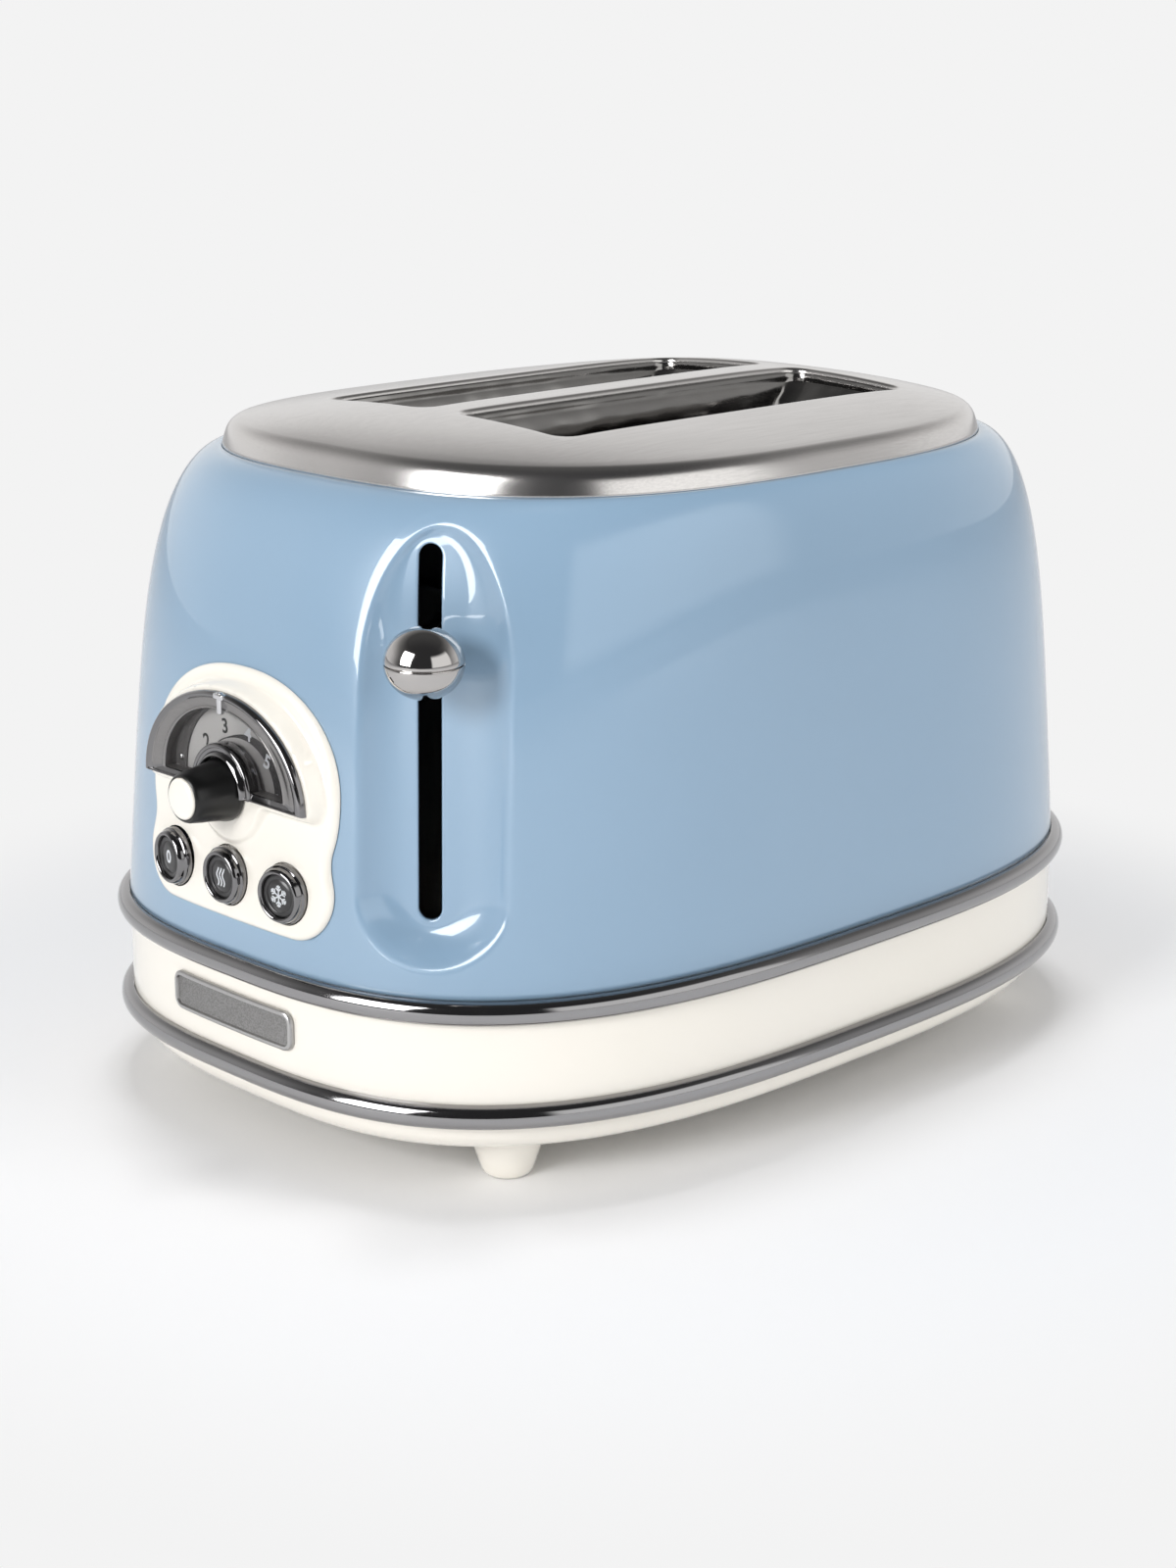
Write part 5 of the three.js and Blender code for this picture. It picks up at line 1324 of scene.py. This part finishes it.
# %% Knob
KNOB_SHAPE = ((3.0, 141.0), (3.0, 151.0), (8.3, 151.0), (8.9, 151.2), (9.2, 151.8), (9.15, 152.8),
              (8.75, 154.4), (8.4, 156.4), (8.05, 159.0), (7.8, 161.6), (7.5, 163.6), (7.3, 164.7),
              (7.0, 165.5), (6.65, 166.0), (6.35, 166.2), (6.15, 166.1), (6.1, 165.4), (0, 165.4))
CAP_SHAPE = ((0, 165.5), (6.0, 165.5), (6.05, 165.9), (5.9, 166.4), (5.5, 166.75), (4.5, 167.02),
             (3.2, 167.2), (1.6, 167.3), (0, 167.33))
turned("knob_handle", KNOB_SHAPE, dial_frame, 96, "browning_dial", "black", ["dial_knob"], 60)
turned("knob_end_cap", CAP_SHAPE, dial_frame, 72, "browning_dial", "cream", ["knob_cap"], 60)

# %% [markdown]
# ## Push buttons
# Each button is a plated ring with a black face let into it. The ring steps up from a thin
# flange to a rounded dome, and the face carries one fine groove and a white sign: a nought,
# three waves of heat and a snow crystal.

# %% Buttons
RING_SHAPE = ((0, -1.0), (8.6, -1.0), (8.6, 0.55), (8.45, 0.85), (8.1, 0.95), (8.0, 1.2),
              (7.95, 1.7), (7.7, 2.3), (7.4, 2.8), (7.05, 2.98), (6.7, 2.9), (6.45, 2.6),
              (6.3, 2.1), (6.25, 1.3), (0, 1.3))
FACE_SHAPE = ((0, 1.35), (6.2, 1.35), (6.2, 1.62), (6.05, 1.78), (5.15, 1.85), (5.0, 1.72),
              (4.85, 1.68), (4.7, 1.76), (4.55, 1.9), (3.0, 1.98), (1.5, 2.02), (0, 2.03))
for name, place in buttons.items():
    key = f"{name}_key"
    turned(f"{name}_ring", RING_SHAPE, place, 80, key, "smoky_chrome", [f"button_{name}"], 60)
    turned(f"{name}_face", FACE_SHAPE, place, 64, key, "button_black", [f"button_face_{name}"], 60)

# %% Signs
SIGN_LIFT = Matrix.Translation((0, 0, 2.0))
WAVE_WIDE, ARM_WIDE, STROKE_THICK = 0.5, 0.42, 0.08
lettering("cancel_sign", "0", 5.4, buttons["cancel"] @ SIGN_LIFT, "cancel_key", "print_white")


def stroke(bm, points, width):
    """A thin raised line: a chain of edges, pulled sideways into a ribbon and lifted."""
    points = [Vector(point) for point in points]
    runs = [after - before for before, after in zip(points[:1] + points, points[1:] + points[-1:])]
    sides = [Vector((-run.y, run.x)).normalized() * width / 2 for run in runs]
    left = [bm.verts.new((point + side).to_3d()) for point, side in zip(points, sides)]
    chain = Rim([bm.edges.new(pair) for pair in zip(left, left[1:])],
                {vert: (point - side,) for vert, point, side in zip(left, points, sides)})
    right = chain.grow(bm, lambda spot: spot.to_3d())
    faces = [face for edge in right.edges for face in edge.link_faces]
    lifted = bmesh.ops.extrude_face_region(bm, geom=faces)["geom"]
    bmesh.ops.translate(bm, vec=(0, 0, STROKE_THICK),
                        verts=[v for v in lifted if isinstance(v, bmesh.types.BMVert)])


waves, crystal = bmesh.new(), bmesh.new()
for shift in (-1.3, 0, 1.3):
    stroke(waves, [(shift + 0.45 * math.sin(t * math.tau * 1.25), -2.7 + 5.4 * t)
                   for t in np.linspace(0, 1, 24)], WAVE_WIDE)
for arm in range(6):
    turn = Matrix.Rotation(math.tau * arm / 6, 2)
    for line in (((0, 0), (0, 3.2)), ((0, 1.5), (0.95, 2.35)), ((0, 1.5), (-0.95, 2.35)),
                 ((0, 2.35), (0.6, 2.95)), ((0, 2.35), (-0.6, 2.95))):
        stroke(crystal, [turn @ Vector(point) for point in line], ARM_WIDE)
for name, form in (("reheat", waves), ("defrost", crystal)):
    bmesh.ops.transform(form, matrix=buttons[name] @ SIGN_LIFT, verts=form.verts)
    make_piece(f"{name}_sign", form, f"{name}_key", "print_white", (), 30)

# %% [markdown]
# ## Lever ball
# The ball is two chromed shells that meet in a fine seam round the equator. It is turned
# about its upright axis, so the seam stays level, and sits on the arm that comes through the
# slot.

# %% Ball
BALL_RADIUS, BALL_FLAT, SEAM_HALF, SEAM_DEPTH = 10.95, 0.91, 0.22, 1.1
BALL_NUDGE = Vector((0.8, -1.2, -0.8))
ball_low, ball_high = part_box("lever_knob")
ball_middle = PLACE.inverted() @ ((ball_low + ball_high) / 2)
half = [(BALL_RADIUS * math.cos(t), BALL_RADIUS * BALL_FLAT * math.sin(t))
        for t in np.linspace(-math.pi / 2, -SEAM_HALF / BALL_RADIUS - 0.012, 26)]
half[0] = (0, -BALL_RADIUS * BALL_FLAT)
half += [(BALL_RADIUS - 0.06, -SEAM_HALF), (BALL_RADIUS - SEAM_DEPTH, -SEAM_HALF * 0.8)]
turned("lever_ball", half + [(r, -h) for r, h in reversed(half)],
       Matrix.Translation(ball_middle + BALL_NUDGE), 96, "carriage", "ball", ["lever_knob"])

# %% [markdown]
# ## Inner parts
# The bread cage, the carriage and the electrics keep their CAD shapes. Each gets the finish
# of its own material.

# %% Inner finishes
INNER = {"zinc": ("chassis_left", "chassis_right", "guide_rod", "carriage_bracket",
                  "bread_rack_front", "bread_rack_rear", "armature", "crumb_tray",
                  "guard_front_outer", "guard_front_inner", "guard_rear_outer",
                  "guard_rear_inner", "return_spring", "reflector_front", "reflector_rear"),
         "black": ("lever_arm", "browning_pot"), "copper": ("electromagnet",),
         "mica": ("heater_front", "heater_rear", "heater_middle"),
         "circuit": ("circuit_board",), "rubber": ("cord_gland",)}
for finish, names in INNER.items():
    for name in names:
        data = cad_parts[name].data
        data.materials.clear()
        data.materials.append(finishes[finish])
shown = [name for name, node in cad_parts.items() if not node.hide_render]
print(len(shown), "CAD nodes still shown:", shown)

# %% [markdown]
# ## The studio
# The floor is one even pale sheet, and the same tone stands behind it, so no horizon shows.
# Close to the toaster the floor is ordinary paper that takes the shadow; further away it
# fades into the tone of the background, which keeps the corners of the picture even.

# %% Floor
PALE = linear(243, 243, 243)
FADE_START, FADE_END = 0.2, 0.34
sheet_form = bmesh.new()
bmesh.ops.create_circle(sheet_form, cap_ends=True, segments=96, radius=20)
floor_mesh = bpy.data.meshes.new("studio_floor")
sheet_form.to_mesh(floor_mesh)
sheet_form.free()
floor = bpy.data.objects.new("studio_floor", floor_mesh)
bpy.context.scene.collection.objects.link(floor)

paper = Finish("studio_paper", (0.925, 0.926, 0.932, 1), 0.75)
paper.set("Specular IOR Level", 0.1)
reach = paper.node("ShaderNodeVectorMath", {"operation": "LENGTH"}, {0: paper.place()}, out="Value")
ray = paper.node("ShaderNodeLightPath", out="Is Camera Ray")
glow = paper.node("ShaderNodeEmission", {}, {"Color": PALE, "Strength": 1.0})
blend = paper.node("ShaderNodeMixShader", {}, {
    0: paper.band(reach, FADE_START, FADE_END) * ray,
    1: Value(paper, paper.shader.outputs[0]), 2: glow})
output = next(n for n in paper.tree.nodes if n.type == "OUTPUT_MATERIAL")
paper.feed(output.inputs["Surface"], blend)
floor_mesh.materials.append(paper.material)

# %% [markdown]
# ## What the metal sees
# Chrome has no look of its own, only that of the room. Here the room is pale behind the
# toaster, darker overhead and dark on the camera's side, as in a studio where only the
# background and two soft boxes are lit. Camera rays see the pale tone, and matt surfaces
# get an even fill.

# %% World
CAMERA_BACK = Vector((-0.6750, -0.6896, 0.26236)).normalized()
camera_side = Vector((CAMERA_BACK.x, CAMERA_BACK.y, 0)).normalized()
WINDOW_AIM = Matrix.Rotation(math.radians(56), 3, "Z") @ camera_side
WINDOW_SIDE = Vector((0, 0, 1)).cross(WINDOW_AIM)
world = bpy.data.worlds.new("studio")
bpy.context.scene.world = world
world.use_nodes = True


class Room(Finish):
    """The world's nodes, built with the same methods as a material's."""

    def __init__(self, shown_world):
        self.tree = shown_world.node_tree
        self.shader = next(n for n in self.tree.nodes if n.type == "BACKGROUND")


room = Room(world)
direction = room.node("ShaderNodeTexCoord", out="Generated")
height = room.node("ShaderNodeSeparateXYZ", {}, {0: direction}, out="Z")


def toward(axis):
    """How far each direction points along an axis, -1 to 1."""
    return room.node("ShaderNodeVectorMath", {"operation": "DOT_PRODUCT"},
                     {0: direction, 1: tuple(axis)}, out="Value")


ceiling = room.node("ShaderNodeValToRGB", {"stops": [
    (0.0, (0.90, 0.90, 0.90, 1)), (0.28, (0.86, 0.855, 0.85, 1)),
    (0.45, (0.62, 0.615, 0.61, 1)), (0.62, (0.3, 0.297, 0.294, 1)),
    (0.82, (0.09, 0.09, 0.09, 1))]}, {0: height})
dimmed = room.mix(room.band(toward(camera_side), -0.5, 0.45), ceiling, (0.045, 0.045, 0.047, 1))
aside, ahead = toward(WINDOW_SIDE), toward(WINDOW_AIM)
bearing = room.node("ShaderNodeMath", {"operation": "ARCTAN2"}, {0: aside, 1: ahead})
window_share = (room.band(bearing, -0.58, -0.46) * (1 - room.band(bearing, 0.46, 0.58))
                * room.band(height, -0.02, 0.05) * (1 - room.band(height, 0.5, 0.66)))
dimmed = room.mix(window_share, dimmed, (1.2, 1.2, 1.19, 1))
FILL = 0.43
path = "ShaderNodeLightPath"
glossy = room.node(path, out="Is Glossy Ray")
seen = room.node(path, out="Is Camera Ray")
through = room.node(path, out="Is Transmission Ray")
tone = room.mix(glossy, (FILL, FILL, FILL * 1.01, 1), dimmed)
tone = room.mix(seen + through, tone, PALE)
room.set("Color", tone)

# %% [markdown]
# ## Soft boxes
# The ball and the upright rim show a bright window on the left and the paler one of the room
# on the right. The light itself comes from a key, a right and a top box, which aren't
# mirrored. Their level is chosen so that a grey card in front of the toaster would look as
# grey as it is written. The top box stands right above, so the shadow stays close.

# %% Lamps
def soft_box(name, around, rise, away, width, tall, level, mirrored=False):
    """A lamp 'around' degrees left of the camera and 'rise' degrees up, aimed at the toaster."""
    left = Vector((0, 0, 1)).cross(camera_side)
    around, rise = math.radians(around), math.radians(rise)
    flat = camera_side * math.cos(around) - left * math.sin(around)
    way = flat * math.cos(rise) + Vector((0, 0, math.sin(rise)))
    lamp = bpy.data.lights.new(name, "AREA")
    lamp.shape, lamp.size, lamp.size_y = "RECTANGLE", width, tall
    lamp.energy = level * math.pi * width * tall
    box = bpy.data.objects.new(name, lamp)
    box.location = Vector((0, 0, 0.1)) + way * away
    box.rotation_euler = way.to_track_quat("Z", "Y").to_euler()
    box.visible_camera, box.visible_glossy, box.visible_diffuse = False, mirrored, not mirrored
    bpy.context.scene.collection.objects.link(box)
    print(name, "at", [round(v, 2) for v in box.location])


soft_box("left_window", 50, 25, 2.2, 1.2, 1.5, 10.0, mirrored=True)
soft_box("key_box", 37, 23, 2.2, 0.65, 0.65, 16.6)
soft_box("right_box", -63, 23, 2.2, 1.2, 1.5, 2.0)
soft_box("top_box", 172, 85, 2.4, 0.6, 0.5, 19.5)

# %% [markdown]
# ## Camera
# The camera stands where the photograph's camera stood: worked out from the outline and
# the edges of the body. Its small shift only moves the picture in the frame.

# %% Camera
AIM = Vector((0.0062, 0, 0.0909))
camera = bpy.data.objects.new("camera", bpy.data.cameras.new("camera"))
bpy.context.scene.collection.objects.link(camera)
camera.location = AIM + CAMERA_BACK * 0.9169
camera.rotation_euler = CAMERA_BACK.to_track_quat("Z", "Y").to_euler()
camera.data.lens = 65.64
camera.data.shift_x, camera.data.shift_y = -0.0116, -0.0197
bpy.context.scene.camera = camera
bpy.context.scene.view_settings.view_transform = "Standard"
